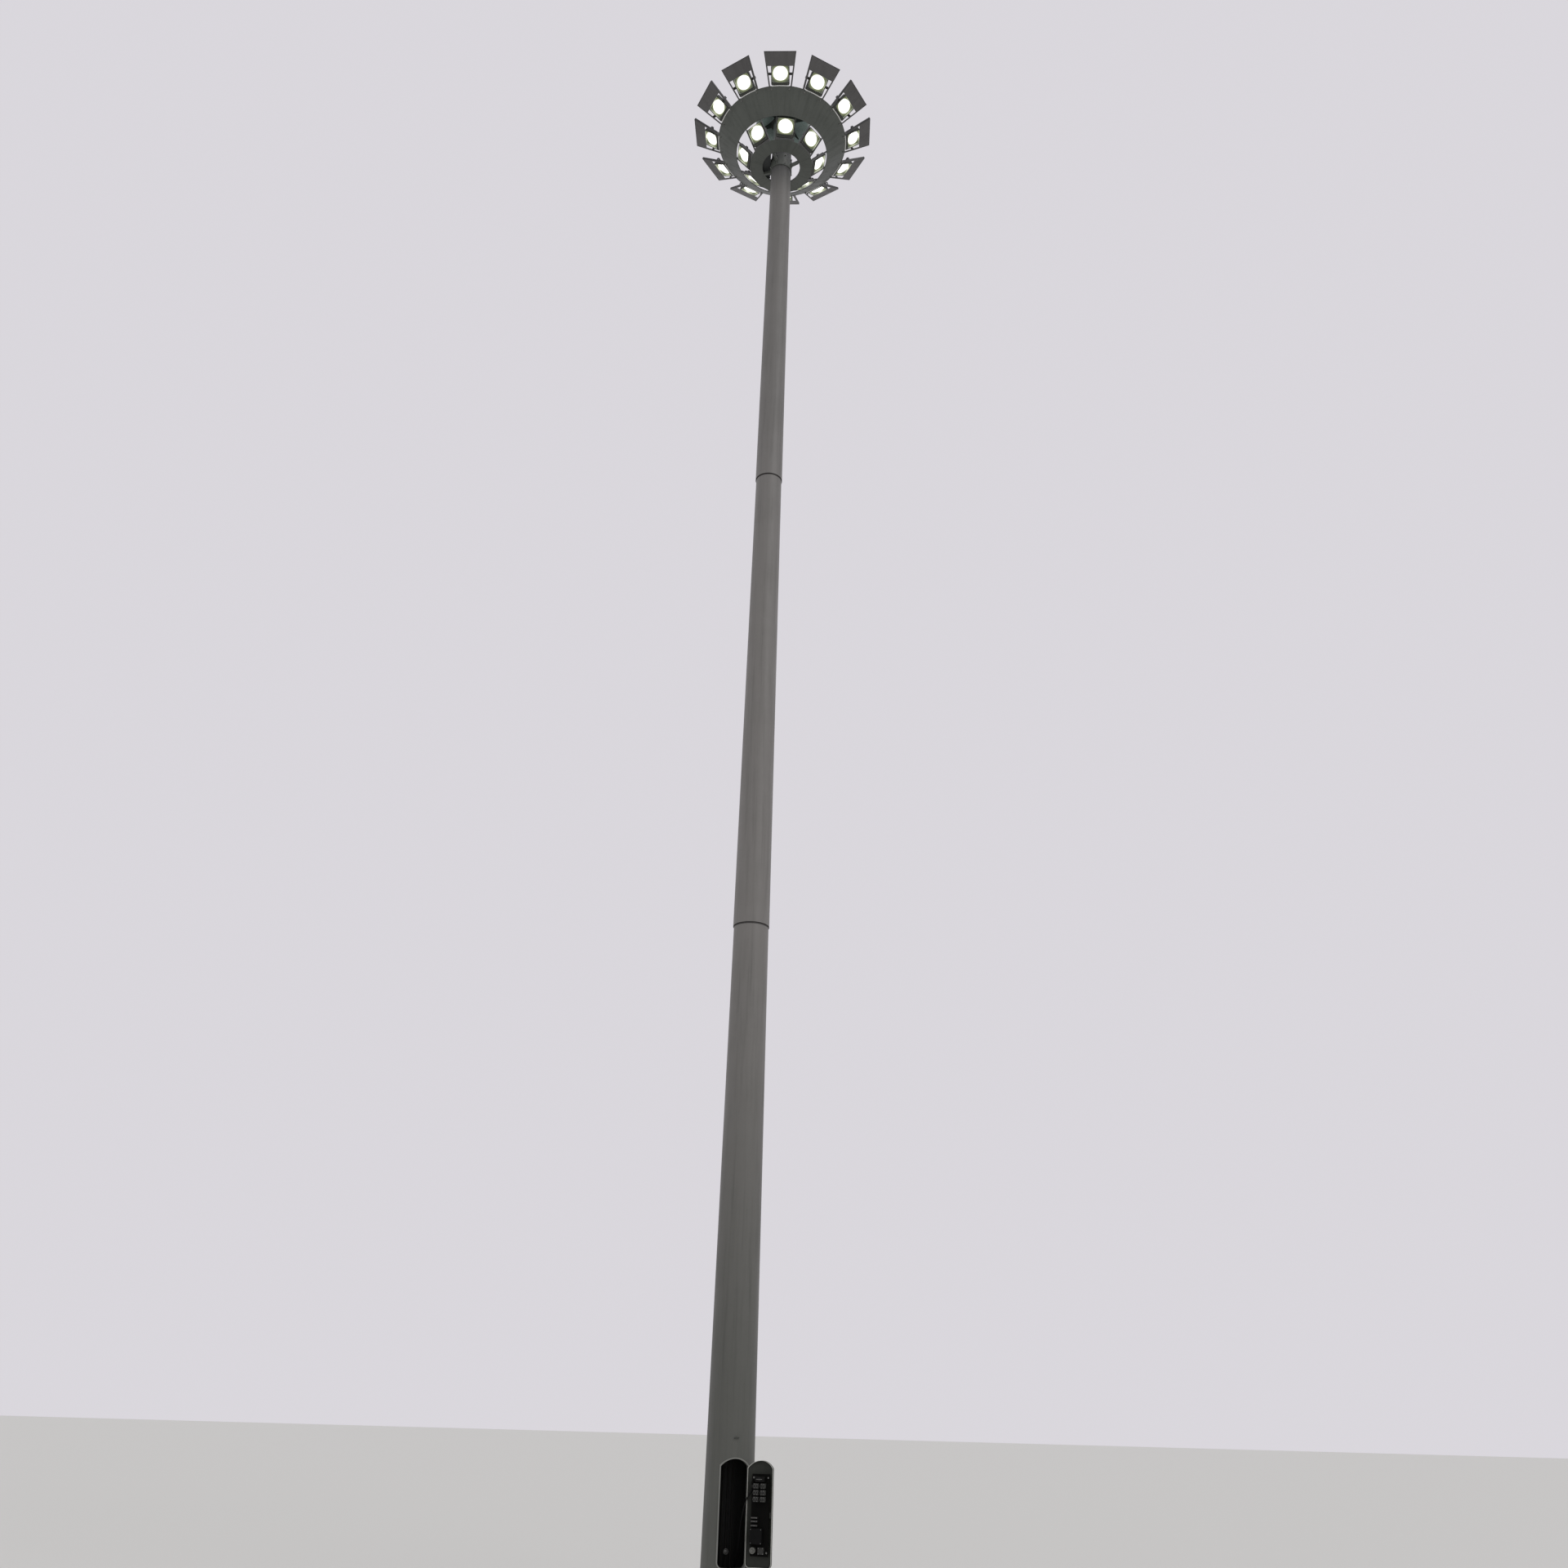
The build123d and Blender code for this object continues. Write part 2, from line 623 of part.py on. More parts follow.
def tapered(low, high, inset):
    """Face between two distances from the rim, inset from the petal's edges."""
    low_half = petal_half(low) - inset
    high_half = petal_half(high) - inset
    corners = [(-low_half, low), (low_half, low), (high_half, high), (-high_half, high)]
    return make_face(Polyline(corners, close=True))


def petal():
    """One petal in its own tilted frame: a sheet with its window, two folded edges and a tip flange."""
    tip = petal_half(PETAL_LENGTH)
    sheet = tapered(-PETAL_ROOT, PETAL_LENGTH, 0)
    edges = sheet - tapered(-PETAL_ROOT, PETAL_LENGTH, PETAL_SHEET)
    shape = extrude(sheet - tapered(-2 * PETAL_ROOT, PETAL_WINDOW, PETAL_RAIL), PETAL_SHEET)
    shape += extrude(edges, PETAL_FLANGE)
    shape += box(-tip, tip, PETAL_LENGTH - PETAL_SHEET, PETAL_LENGTH, 0, PETAL_FLANGE)
    return shape


def strap(half, low, high, position):
    """Flat bar bridging over a lamp's back, from rail to rail."""
    y0 = position - STRAP_WIDTH / 2
    y1 = position + STRAP_WIDTH / 2
    bar = box(-half, half, y0, y1, high, high + STRAP_THICKNESS)
    for side in (-1, 1):
        inner = side * (half - STRAP_THICKNESS)
        leg = sorted((inner, side * half))
        bar += box(*leg, y0, y1, low, high + STRAP_THICKNESS)
    return bar


petal_shape = petal()
petal_strap_half = petal_half(OUTER_STRAP - STRAP_WIDTH / 2) - PETAL_SHEET / 2
lamp_back = petal_plane + LAMP_DEPTH
petal_shape += strap(petal_strap_half, PETAL_SHEET, lamp_back + SEAT_GAP, OUTER_STRAP)
outer_petals = []
outer_bodies = []
outer_lenses = []
outer_frame = (BAND_UPPER_RADIUS, BAND_UPPER_LEVEL, PETAL_TILT)
petal_body = in_frame(petal_shape, *outer_frame)
rim_edge = BAND_UPPER_RADIUS + CUT_MARGIN
rim_cut = revolved(
    [
        (BAND_LOWER_RADIUS, BAND_LOWER_LEVEL - CUT),
        (rim_edge, BAND_UPPER_LEVEL - CUT),
        (rim_edge, band_inside(rim_edge) + SEAT_GAP),
        (BAND_LOWER_RADIUS, band_inside(BAND_LOWER_RADIUS) + SEAT_GAP),
    ]
)
petal_body -= rim_cut
lamp_at_petal = in_frame(Pos(0, OUTER_LAMP_START, petal_plane) * lamp_body(), *outer_frame)
lens_at_petal = in_frame(Pos(0, OUTER_LAMP_START, petal_plane) * lamp_lens(), *outer_frame)
for index in range(OUTER_COUNT):
    azimuth = OUTER_PHASE + index * 360 / OUTER_COUNT
    outer_petals.append(at_azimuth(petal_body, azimuth))
    outer_bodies.append(at_azimuth(lamp_at_petal, azimuth))
    outer_lenses.append(at_azimuth(lens_at_petal, azimuth))

# Inner frames: rails from the inner ring up to the outer band, with a strap behind the lamp
rail_offset = FRAME_HALF_WIDTH
foot_r = sqrt(INNER_RING_RADIUS**2 - rail_offset**2)
head_r = sqrt(BAND_LOWER_RADIUS**2 - rail_offset**2)
inner_tilt = degrees(atan2(BAND_LOWER_LEVEL - ring_bottom_out, head_r - foot_r))
frame_length = hypot(BAND_LOWER_LEVEL - ring_bottom_out, head_r - foot_r)


def inner_frame_shape():
    """Two rails and the strap between them, in their own tilted frame."""
    shape = strap(FRAME_HALF_WIDTH + FRAME_RAIL, 0, LAMP_DEPTH + LAMP_SEAT + SEAT_GAP, INNER_STRAP)
    half = FRAME_HALF_WIDTH
    shape += box(-half, half, 0, FOOT_PLATE_LENGTH, FOOT_PLATE_SHEET, 2 * FOOT_PLATE_SHEET)
    for side in (-1, 1):
        rail = sorted((side * half, side * (half + FRAME_RAIL)))
        shape += box(*rail, -FRAME_FOOT, frame_length + FRAME_FOOT, 0, FRAME_RAIL_DEPTH)
    return shape


inner_frame = (foot_r, ring_bottom_out, inner_tilt)
band_edge = BAND_LOWER_RADIUS - 2 * FRAME_RAIL
ring_edge = INNER_RING_RADIUS + CUT_MARGIN
frame_body = in_frame(inner_frame_shape(), *inner_frame)
frame_body -= revolved(
    [
        (band_edge, BAND_LOWER_LEVEL - CUT),
        (BAND_UPPER_RADIUS, BAND_LOWER_LEVEL - CUT),
        (BAND_UPPER_RADIUS, band_inside(BAND_UPPER_RADIUS) + SEAT_GAP),
        (band_edge, band_inside(band_edge) + SEAT_GAP),
    ]
)
ring_slope = INNER_RING_RISE / (INNER_RING_RADIUS - INNER_RING_BORE)
ring_face = ring_bottom_out + INNER_RING_SHEET + SEAT_GAP
frame_body -= revolved(
    [
        (INNER_RING_BORE, ring_bottom_in - 2 * CUT),
        (ring_edge, ring_bottom_in - 2 * CUT),
        (ring_edge, ring_face + ring_slope * (ring_edge - INNER_RING_RADIUS)),
        (INNER_RING_BORE, ring_face + ring_slope * (INNER_RING_BORE - INNER_RING_RADIUS)),
    ]
)
inner_frames = []
inner_bodies = []
inner_lenses = []
lamp_at_frame = in_frame(Pos(0, INNER_LAMP_START, LAMP_SEAT) * lamp_body(), *inner_frame)
lens_at_frame = in_frame(Pos(0, INNER_LAMP_START, LAMP_SEAT) * lamp_lens(), *inner_frame)
for index in range(INNER_COUNT):
    azimuth = INNER_PHASE + index * 360 / INNER_COUNT
    inner_frames.append(at_azimuth(frame_body, azimuth))
    inner_bodies.append(at_azimuth(lamp_at_frame, azimuth))
    inner_lenses.append(at_azimuth(lens_at_frame, azimuth))

# Top plate with ribs, and the rain hood on them
hood_apex = HOOD_LEVEL + HOOD_LIP + HOOD_RISE
hood_slope = HOOD_RISE / (HOOD_RADIUS - HOOD_CROWN)


def hood_under(radius):
    """Height of the hood's underside at a radius."""
    upper_face = HOOD_LEVEL + HOOD_LIP + (HOOD_RADIUS - radius) * hood_slope
    return upper_face - HOOD_SHEET * sqrt(1 + hood_slope**2)


rain_hood = revolved(
    [
        (0, hood_apex - HOOD_SHEET),
        (HOOD_CROWN, hood_apex - HOOD_SHEET),
        (HOOD_RADIUS - HOOD_SHEET, hood_under(HOOD_RADIUS - HOOD_SHEET)),
        (HOOD_RADIUS - HOOD_SHEET, HOOD_LEVEL),
        (HOOD_RADIUS, HOOD_LEVEL),
        (HOOD_RADIUS, HOOD_LEVEL + HOOD_LIP),
        (HOOD_CROWN, hood_apex),
        (0, hood_apex),
    ]
)
plate_mid = SHAFT_TOP + TOP_PLATE_THICKNESS / 2
top_plate = Pos(0, 0, SHAFT_TOP) * Cylinder(TOP_PLATE_RADIUS, TOP_PLATE_THICKNESS, align=UPRIGHT)
rib_in = HOOD_CROWN + HOOD_RIB_START
rib_out = HOOD_RADIUS - HOOD_RIB_INSET
rib_points = [
    (rib_in, plate_mid),
    (TOP_PLATE_RADIUS, plate_mid),
    (rib_out, hood_under(rib_out) - HOOD_RIB_TIP),
    (rib_out, hood_under(rib_out) - SEAT_GAP),
    (rib_in, hood_under(rib_in) - SEAT_GAP),
]
for rib in range(HOOD_RIBS):
    top_plate += radial(rib_points, HOOD_RIB_THICKNESS, rib * 360 / HOOD_RIBS)

# Junction box on the hub, just above the ring's lip
box_in = upper_radius(hub_bottom) + HUB_WALL + SEAT_GAP
box_bottom = ring_bottom_in + INNER_LIP_HEIGHT + BOX_CLEARANCE
half = BOX_WIDTH / 2
junction_box = box(-half, half, -box_in - BOX_DEPTH, -box_in, box_bottom, box_bottom + BOX_HEIGHT)
junction_box = at_azimuth(junction_box, BOX_AZIMUTH)

# Cable from the gland over the leaf's edge and down inside the shaft to the lowest cleat
start = opened(Pos(gland_x, gland_y, GLAND_LEVEL) * Sphere(1)).center()
cable_end_y = RISER_OFFSET + RISER_RADIUS - CABLE_RADIUS
cable_end_z = CLEAT_LEVELS[0] - CABLE_END_DROP
route = [
    (start.X, start.Y, start.Z),
    (start.X, start.Y, start.Z - CABLE_FIRST_RUN),
    (103, -283, 990),
    (84, -253, 915),
    (80, -201, 830),
    (80, -153, 735),
    (83, -110, 625),
    (86, -65, 530),
    (83, -20, 463),
    (76, 24, 412),
    (71.5, 56, 362),
    (CABLE_END_X, cable_end_y, cable_end_z + CABLE_END_RUN),
    (CABLE_END_X, cable_end_y, cable_end_z),
]
turns = []
for before, corner, after in zip(route, route[1:], route[2:]):
    run_in = Vector(*corner) - Vector(*before)
    run_out = Vector(*after) - Vector(*corner)
    turn = run_in.get_angle(run_out)
    shorter = min(run_in.length, run_out.length)
    turns.append(CABLE_SHARE * shorter / tan(radians(turn / 2)))
print("cable radii", [round(radius) for radius in turns])
cable_line = FilletPolyline(*route, radius=turns)
cable_start = Plane(origin=route[0], z_dir=Vector(*route[1]) - Vector(*route[0]))
door_cable = sweep(cable_start * Circle(CABLE_RADIUS), path=cable_line)
print("cable from", [round(value, 3) for value in route[0]], "length", round(cable_line.length), "mm")
print("hinge at", round(hinge_x, 3), round(hinge_y, 3))

nodes = {
    "base_flange": base_flange,
    "base_gussets": base_gussets,
    "shaft_foot": shaft_foot,
    "lower_shaft": lower_shaft,
    "middle_shaft": middle_shaft,
    "upper_shaft": upper_shaft,
    "door_frame": door_frame,
    "door_leaf": opened(door_leaf),
    "hinge_brackets": hinge_brackets,
    "gear_board": opened(gear_board),
    "switch_modules": [opened(item) for item in switch_modules],
    "terminal_blocks": [opened(item) for item in terminal_blocks],
    "ballast_units": [opened(item) for item in ballast_units],
    "shaft_lug": shaft_lug,
    "riser_cables": riser_cables,
    "cable_cleats": cable_cleats,
    "door_cable": door_cable,
    "inner_ring": inner_ring,
    "ring_hub": ring_hub,
    "junction_box": junction_box,
    "inner_frames": inner_frames,
    "inner_lenses": inner_lenses,
    "outer_band": outer_band,
    "outer_petals": outer_petals,
    "outer_lenses": outer_lenses,
    "top_plate": top_plate,
    "rain_hood": rain_hood,
}
for index, body in enumerate(outer_bodies, 1):
    nodes[f"outer_lamp_{index:02d}"] = body
for index, body in enumerate(inner_bodies, 1):
    nodes[f"inner_lamp_{index}"] = body

os.makedirs("parts", exist_ok=True)
for name, shape in nodes.items():
    if isinstance(shape, list):
        shape = Compound(children=shape)
    export_step(shape, f"parts/{name}.step")
    print(name, len(shape.solids()), round(shape.volume / 1000), "cm3")
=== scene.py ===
"""Looks of a high mast floodlight tower: finishes, small fittings, cable, studio and camera.

Metres, +Z up. The origin is the centre of the base flange's underside and the access door faces -Y.
An azimuth is measured from -Y towards +X, in degrees.
"""

import json
import logging
from collections.abc import Callable
from dataclasses import dataclass, field
from enum import Enum
from math import atan2, cos, degrees, hypot, pi, radians, sin, sqrt, tan

import bpy
from mathutils import Matrix, Vector

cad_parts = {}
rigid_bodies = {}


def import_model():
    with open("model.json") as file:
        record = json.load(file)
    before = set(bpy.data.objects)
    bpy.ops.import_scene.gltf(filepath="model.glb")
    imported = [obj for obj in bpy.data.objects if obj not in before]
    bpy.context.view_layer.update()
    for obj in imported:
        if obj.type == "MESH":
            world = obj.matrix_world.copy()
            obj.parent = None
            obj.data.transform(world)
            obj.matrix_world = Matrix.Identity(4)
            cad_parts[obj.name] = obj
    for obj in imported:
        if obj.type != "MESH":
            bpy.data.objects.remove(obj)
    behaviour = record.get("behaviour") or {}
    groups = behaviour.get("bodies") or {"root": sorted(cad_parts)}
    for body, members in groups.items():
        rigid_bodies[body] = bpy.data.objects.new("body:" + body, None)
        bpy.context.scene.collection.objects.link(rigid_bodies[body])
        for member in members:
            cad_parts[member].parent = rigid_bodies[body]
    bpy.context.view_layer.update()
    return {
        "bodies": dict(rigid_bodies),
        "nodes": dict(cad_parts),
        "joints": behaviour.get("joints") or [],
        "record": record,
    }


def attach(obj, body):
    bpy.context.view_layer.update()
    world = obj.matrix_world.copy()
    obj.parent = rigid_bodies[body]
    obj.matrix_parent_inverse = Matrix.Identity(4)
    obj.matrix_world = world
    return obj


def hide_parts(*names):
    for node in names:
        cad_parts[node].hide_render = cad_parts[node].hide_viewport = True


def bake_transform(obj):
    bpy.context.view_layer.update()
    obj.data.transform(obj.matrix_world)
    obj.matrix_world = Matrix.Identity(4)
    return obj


log = logging.getLogger("floodlight_tower")

Pair = tuple[float, float]
Point = tuple[float, float, float]
Colour = tuple[float, float, float]
Piece = bpy.types.Object
Material = bpy.types.Material
Socket = bpy.types.NodeSocket

# Radius and height of the crown's edges, half of an inner lamp's width, and colours that finishes share.
RING_RIM: Pair = (0.467, 18.735)
BAND_LOWER: Pair = (0.69, 18.975)
BAND_UPPER: Pair = (0.969, 19.247)
HALF_INNER_LAMP: float = 0.14

UNLIT: Colour = (0.0, 0.0, 0.0)
GREY: tuple[Colour, Colour] = ((0.105, 0.103, 0.103), (0.076, 0.073, 0.073))
STEEL: tuple[Colour, Colour] = ((0.2, 0.2, 0.19), (0.12, 0.12, 0.115))


class Body(Enum):
    """The moving bodies that a piece can ride on."""

    MAST = "mast"
    DOOR = "door"


class Grime(Enum):
    """Where dirt gathers on a painted surface."""

    EVEN = "even"
    RUNS = "runs"
    STREAKS = "streaks"


class Value:
    """A shader socket on which Python operators add Math nodes."""

    def __init__(self, shader: "Shader", socket: Socket) -> None:
        """Wrap one output socket of a shader."""
        self.shader = shader
        self.socket = socket

    def __add__(self, other: "Value | float") -> "Value":
        """Sum."""
        return self.shader.maths("ADD", self, other)

    def __radd__(self, other: float) -> "Value":
        """Sum with a number on the left."""
        return self.shader.maths("ADD", other, self)

    def __sub__(self, other: "Value | float") -> "Value":
        """Difference."""
        return self.shader.maths("SUBTRACT", self, other)

    def __rsub__(self, other: float) -> "Value":
        """Difference with a number on the left."""
        return self.shader.maths("SUBTRACT", other, self)

    def __mul__(self, other: "Value | float") -> "Value":
        """Product."""
        return self.shader.maths("MULTIPLY", self, other)

    def __rmul__(self, other: float) -> "Value":
        """Product with a number on the left."""
        return self.shader.maths("MULTIPLY", other, self)

    def __pow__(self, other: float) -> "Value":
        """Power."""
        return self.shader.maths("POWER", self, other)

    def __rpow__(self, other: float) -> "Value":
        """Power of a number on the left."""
        return self.shader.maths("POWER", other, self)

    def __abs__(self) -> "Value":
        """Size without its sign."""
        return self.shader.maths("ABSOLUTE", self)

    def step(self, low: float, high: float) -> "Value":
        """Smooth step from 0 at low to 1 at high, which may be the smaller number."""
        sockets = {"Value": self, "From Min": low, "From Max": high}
        return self.shader.value("ShaderNodeMapRange", {"interpolation_type": "SMOOTHSTEP"}, sockets)


class Shader:
    """The node tree of one procedural material, or of the world."""

    def __init__(self, owner: Material | bpy.types.World) -> None:
        """Start an empty node tree.

        Args:
            owner: the material or world that the nodes belong to.
        """
        self.owner = owner
        self.owner.use_nodes = True
        self.tree = self.owner.node_tree
        self.tree.nodes.clear()

    def node(self, kind: str, settings: dict | None = None, sockets: dict | None = None) -> bpy.types.Node:
        """Add a node of any type.

        Args:
            kind: the node's type.
            settings: its properties, set first.
            sockets: input names or numbers, each with a number, a colour, a socket or a Value.

        Returns:
            The new node.
        """
        made = self.tree.nodes.new(kind)
        for key, setting in (settings or {}).items():
            setattr(made, key, setting)
        for key, given in (sockets or {}).items():
            if isinstance(given, Value):
                given = given.socket
            if isinstance(given, Socket):
                self.tree.links.new(given, made.inputs[key])
            else:
                made.inputs[key].default_value = given
        return made

    def value(self, kind: str, settings: dict, sockets: dict) -> Value:
        """Add a node and wrap its first output."""
        return Value(self, self.node(kind, settings, sockets).outputs[0])

    def maths(self, operation: str, *operands: Value | float) -> Value:
        """Add a Math node with its inputs in order."""
        return self.value("ShaderNodeMath", {"operation": operation}, dict(enumerate(operands)))

    def place(self, stretch: Point = (1.0, 1.0, 1.0)) -> Socket:
        """Object coordinates, stretched by factors along X, Y and Z."""
        source = self.node("ShaderNodeTexCoord").outputs["Object"]
        return self.node("ShaderNodeMapping", {}, {"Vector": source, "Scale": stretch}).outputs[0]

    def spokes(self) -> Socket:
        """Direction from the mast's axis, with a little of the height, for streaks that run outwards.

        Returns:
            The vector to sample noise with.
        """
        flat = self.place((1.0, 1.0, 0.0))
        outward = self.node("ShaderNodeVectorMath", {"operation": "NORMALIZE"}, {0: flat}).outputs[0]
        rise = self.place((0.15, 0.15, 0.12))
        return self.node("ShaderNodeVectorMath", {"operation": "ADD"}, {0: outward, 1: rise}).outputs[0]

    def noise(self, scale: float, detail: float = 3.0, where: Socket | None = None) -> Value:
        """Noise of so many features per metre, on object coordinates or another vector."""
        sockets = {"Vector": where or self.place(), "Scale": scale, "Detail": detail, "Roughness": 0.6}
        return self.value("ShaderNodeTexNoise", {}, sockets)

    def axes(self) -> tuple[Value, Value, Value]:
        """X, Y and Z of the object coordinates."""
        split = self.node("ShaderNodeSeparateXYZ", {}, {0: self.place()})
        return tuple(Value(self, split.outputs[index]) for index in range(3))

    def flat(self) -> tuple[Value, Value]:
        """The two coordinates of the piece's own UV map."""
        split = self.node("ShaderNodeSeparateXYZ", {}, {0: self.node("ShaderNodeUVMap").outputs[0]})
        return Value(self, split.outputs[0]), Value(self, split.outputs[1])

    def blend(self, factor: Value | float, first: Colour | Value, second: Colour | Value) -> Value:
        """Mix two colours.

        Args:
            factor: share of the second one.
            first: colour where the factor is 0.
            second: colour where the factor is 1.

        Returns:
            The mixed colour.
        """
        ends = [end if isinstance(end, Value) else (*end, 1.0) for end in (first, second)]
        mix = self.node("ShaderNodeMix", {"data_type": "RGBA"}, {0: factor, 6: ends[0], 7: ends[1]})
        return Value(self, mix.outputs[2])

    def bump(self, height: Value, strength: float, distance: float) -> Value:
        """Bump normal from a height of 0 to 1, where 1 stands for the distance in metres."""
        return self.value("ShaderNodeBump", {}, {"Height": height, "Strength": strength, "Distance": distance})

    def finish(self, **sockets: object) -> Material:
        """Close the tree with a Principled shader.

        Args:
            sockets: its inputs, with underscores for spaces.

        Returns:
            The material.
        """
        named = {key.replace("_", " "): given for key, given in sockets.items()}
        surface = self.node("ShaderNodeBsdfPrincipled", {}, named)
        self.node("ShaderNodeOutputMaterial", {}, {"Surface": surface.outputs[0]})
        return self.owner


def darker(colour: Colour, share: float) -> Colour:
    """Scale a colour down to a share of itself."""
    return tuple(channel * share for channel in colour)


@dataclass(frozen=True)
class Cone:
    """Outer face of a conical shell, to tell its outside from its inside."""

    radius: float
    taper: float
    foot: float = 0.0
    limit: float = 10.0
    margin: float = 0.003
    ceiling: float = 100.0
    fade: float = 0.001

    def inside(self, shader: Shader) -> Value:
        """Mask of the surfaces inside the shell.

        Args:
            shader: the material being built.

        Returns:
            1 inside the shell, 0 on its outer face.
        """
        x, y, z = shader.axes()
        reach = (x * x + y * y) ** 0.5
        face = shader.maths("MINIMUM", self.radius - (z - self.foot) * self.taper, self.limit)
        within = (face - reach).step(self.margin * 0.5, self.margin)
        return within * z.step(self.ceiling, self.ceiling - self.fade)


@dataclass(frozen=True)
class Paint:
    """Weathered paint on steel sheet or plate."""

    name: str
    colour: Colour
    shade: Colour
    grime: Grime = Grime.EVEN
    gloss: float = 0.45
    peel: float = 0.00025
    sheen: float = 0.4

    def dirt(self, shader: Shader, mottle: Value) -> Value:
        """Share of dirt over the surface.

        Args:
            shader: the material being built.
            mottle: fine mottling, which the dirt follows a little.

        Returns:
            The share, 0 to 1.
        """
        cloud = shader.noise(2.6, 5.0).step(0.35, 0.7)
        dirt = cloud * 0.42 + mottle * 0.16
        if self.grime is Grime.STREAKS:
            dirt = dirt + shader.noise(14.0, 4.0, shader.spokes()).step(0.42, 0.72) * 0.42
        if self.grime is Grime.RUNS:
            runs = shader.noise(24.0, 3.0, shader.place((1.0, 1.0, 0.05))).step(0.45, 0.75)
            dirt = dirt * 0.6 + runs * 0.4
        return shader.maths("MINIMUM", dirt, 1.0)

    def tint(self, shader: Shader, colour: Value) -> Value:
        """Colour the paint further by place; plain paint stays as it is."""
        return colour

    def lamplight(self, shader: Shader) -> dict:
        """Sockets for lamplight on the paint; plain paint has none."""
        return {}

    def material(self) -> Material:
        """Build the paint: cloudy colour, dirt where it gathers and fine orange peel.

        Returns:
            The material.
        """
        shader = Shader(bpy.data.materials.new(self.name))
        mottle = shader.noise(38.0, 4.0).step(0.4, 0.75)
        dirt = self.dirt(shader, mottle)
        colour = self.tint(shader, shader.blend(dirt, self.colour, self.shade))
        height = shader.noise(420.0, 2.0) * 0.7 + mottle * 0.3
        return shader.finish(
            Base_Color=colour,
            Roughness=self.gloss + dirt * 0.22,
            Normal=shader.bump(height, 0.5, self.peel),
            Specular_IOR_Level=self.sheen,
            **self.lamplight(shader),
        )


@dataclass(frozen=True)
class Coat:
    """Colour laid over the paint by a share of itself, with the heights between which it comes or goes."""

    share: float
    colour: Colour
    heights: Pair = (0.0, 0.0)

    def over(self, shader: Shader, colour: Value, mask: Value | float = 1.0) -> Value:
        """Lay the coat over a colour where the mask lets it."""
        return shader.blend(mask * self.share, colour, self.colour)


@dataclass(frozen=True)
class ShaftPaint(Paint):
    """Paint of the tall shaft: darker towards the foot, lighter half-way, with painted shade under the crown and
    painted lamplight on its top within the crown.
    """

    foot: Coat = Coat(0.72, (0.046, 0.051, 0.041))
    middle: Coat = Coat(0.35, (0.18, 0.166, 0.154), (0.4, 7.2))
    upper: tuple[Coat, ...] = (
        Coat(0.21, (0.06, 0.063, 0.064), (10.5, 15.0)),
        # painted shade: the shaft darkens just under the crown
        Coat(0.88, (0.06, 0.063, 0.064), (17.9, 18.9)),
        # painted light: the shaft's top within the crown is lighter, as if lit by the lamps
        Coat(0.58, (0.21, 0.25, 0.235), (18.93, 19.1)),
    )
    run: Coat = Coat(0.3, (0.036, 0.038, 0.033))
    mud: Coat = Coat(0.35, (0.12, 0.108, 0.088), (0.05, 0.7))
    # painted shadow: a dark line just under each slip joint, below the upper tube's end
    seam: Coat = Coat(0.85, (0.022, 0.019, 0.018))
    joints: Pair = (6.58, 12.79)
    joint_shadow_drop: float = 0.008
    joint_shadow_edge: Pair = (0.008, 0.012)
    shell: Cone = Cone(radius=0.239, taper=0.007)
    # near-black painted shade for the shaft's inside, seen through the door
    lining: Colour = (0.004, 0.0045, 0.0035)

    def tint(self, shader: Shader, colour: Value) -> Value:
        """Blend the colours up the shaft, with runs and splashes, a painted shadow under each slip joint and
        painted shade on its inside.

        Args:
            shader: the material being built.
            colour: the plain paint's colour.

        Returns:
            The shaft's colour.
        """
        height = shader.axes()[2]
        runs = shader.noise(20.0, 5.0, shader.place((1.0, 1.0, 0.03))).step(0.5, 0.78)
        splash = (1.0 - height.step(*self.mud.heights)) * shader.noise(9.0, 5.0).step(0.35, 0.65)
        foot, middle = self.foot.over(shader, colour), self.middle.over(shader, colour)
        colour = shader.blend(height.step(*self.middle.heights), foot, middle)
        for coat in self.upper:
            colour = coat.over(shader, colour, height.step(*coat.heights))
        colour = self.run.over(shader, colour, runs)
        colour = self.mud.over(shader, colour, splash)
        # painted shadow under each slip joint
        for level in self.joints:
            apart = abs(height - (level - self.joint_shadow_drop))
            colour = self.seam.over(shader, colour, 1.0 - apart.step(*self.joint_shadow_edge))
        # painted shade: the inside of the shell turns near black
        return shader.blend(self.shell.inside(shader), colour, self.lining)


@dataclass(frozen=True)
class PetalPaint(Paint):
    """Paint of the petals, darker along the folded borders and the tip."""

    border: Coat = Coat(0.85, (0.028, 0.028, 0.029))
    phase: float = 13.5
    pitch: float = 30.0
    half_angle: float = 10.0
    tip: float = 1.3388
    rim: float = 0.985
    line: float = 0.011

    def tint(self, shader: Shader, colour: Value) -> Value:
        """Darken a line along each petal's edges.

        Args:
            shader: the material being built.
            colour: the plain paint's colour.

        Returns:
            The petals' colour.
        """
        x, y, _ = shader.axes()
        azimuth = shader.maths("ARCTAN2", x, y * -1.0) - radians(self.phase)
        half_pitch = radians(self.pitch / 2)
        local = shader.maths("WRAP", azimuth, half_pitch, -half_pitch)
        reach = (x * x + y * y) ** 0.5
        along = reach * shader.maths("COSINE", local)
        across = abs(reach * shader.maths("SINE", local))
        side = along * tan(radians(self.half_angle)) - across
        near = shader.maths("MINIMUM", side, self.tip - along)
        edge = (1.0 - near.step(self.line * 0.6, self.line)) * along.step(self.rim - 0.005, self.rim)
        return self.border.over(shader, colour, edge)


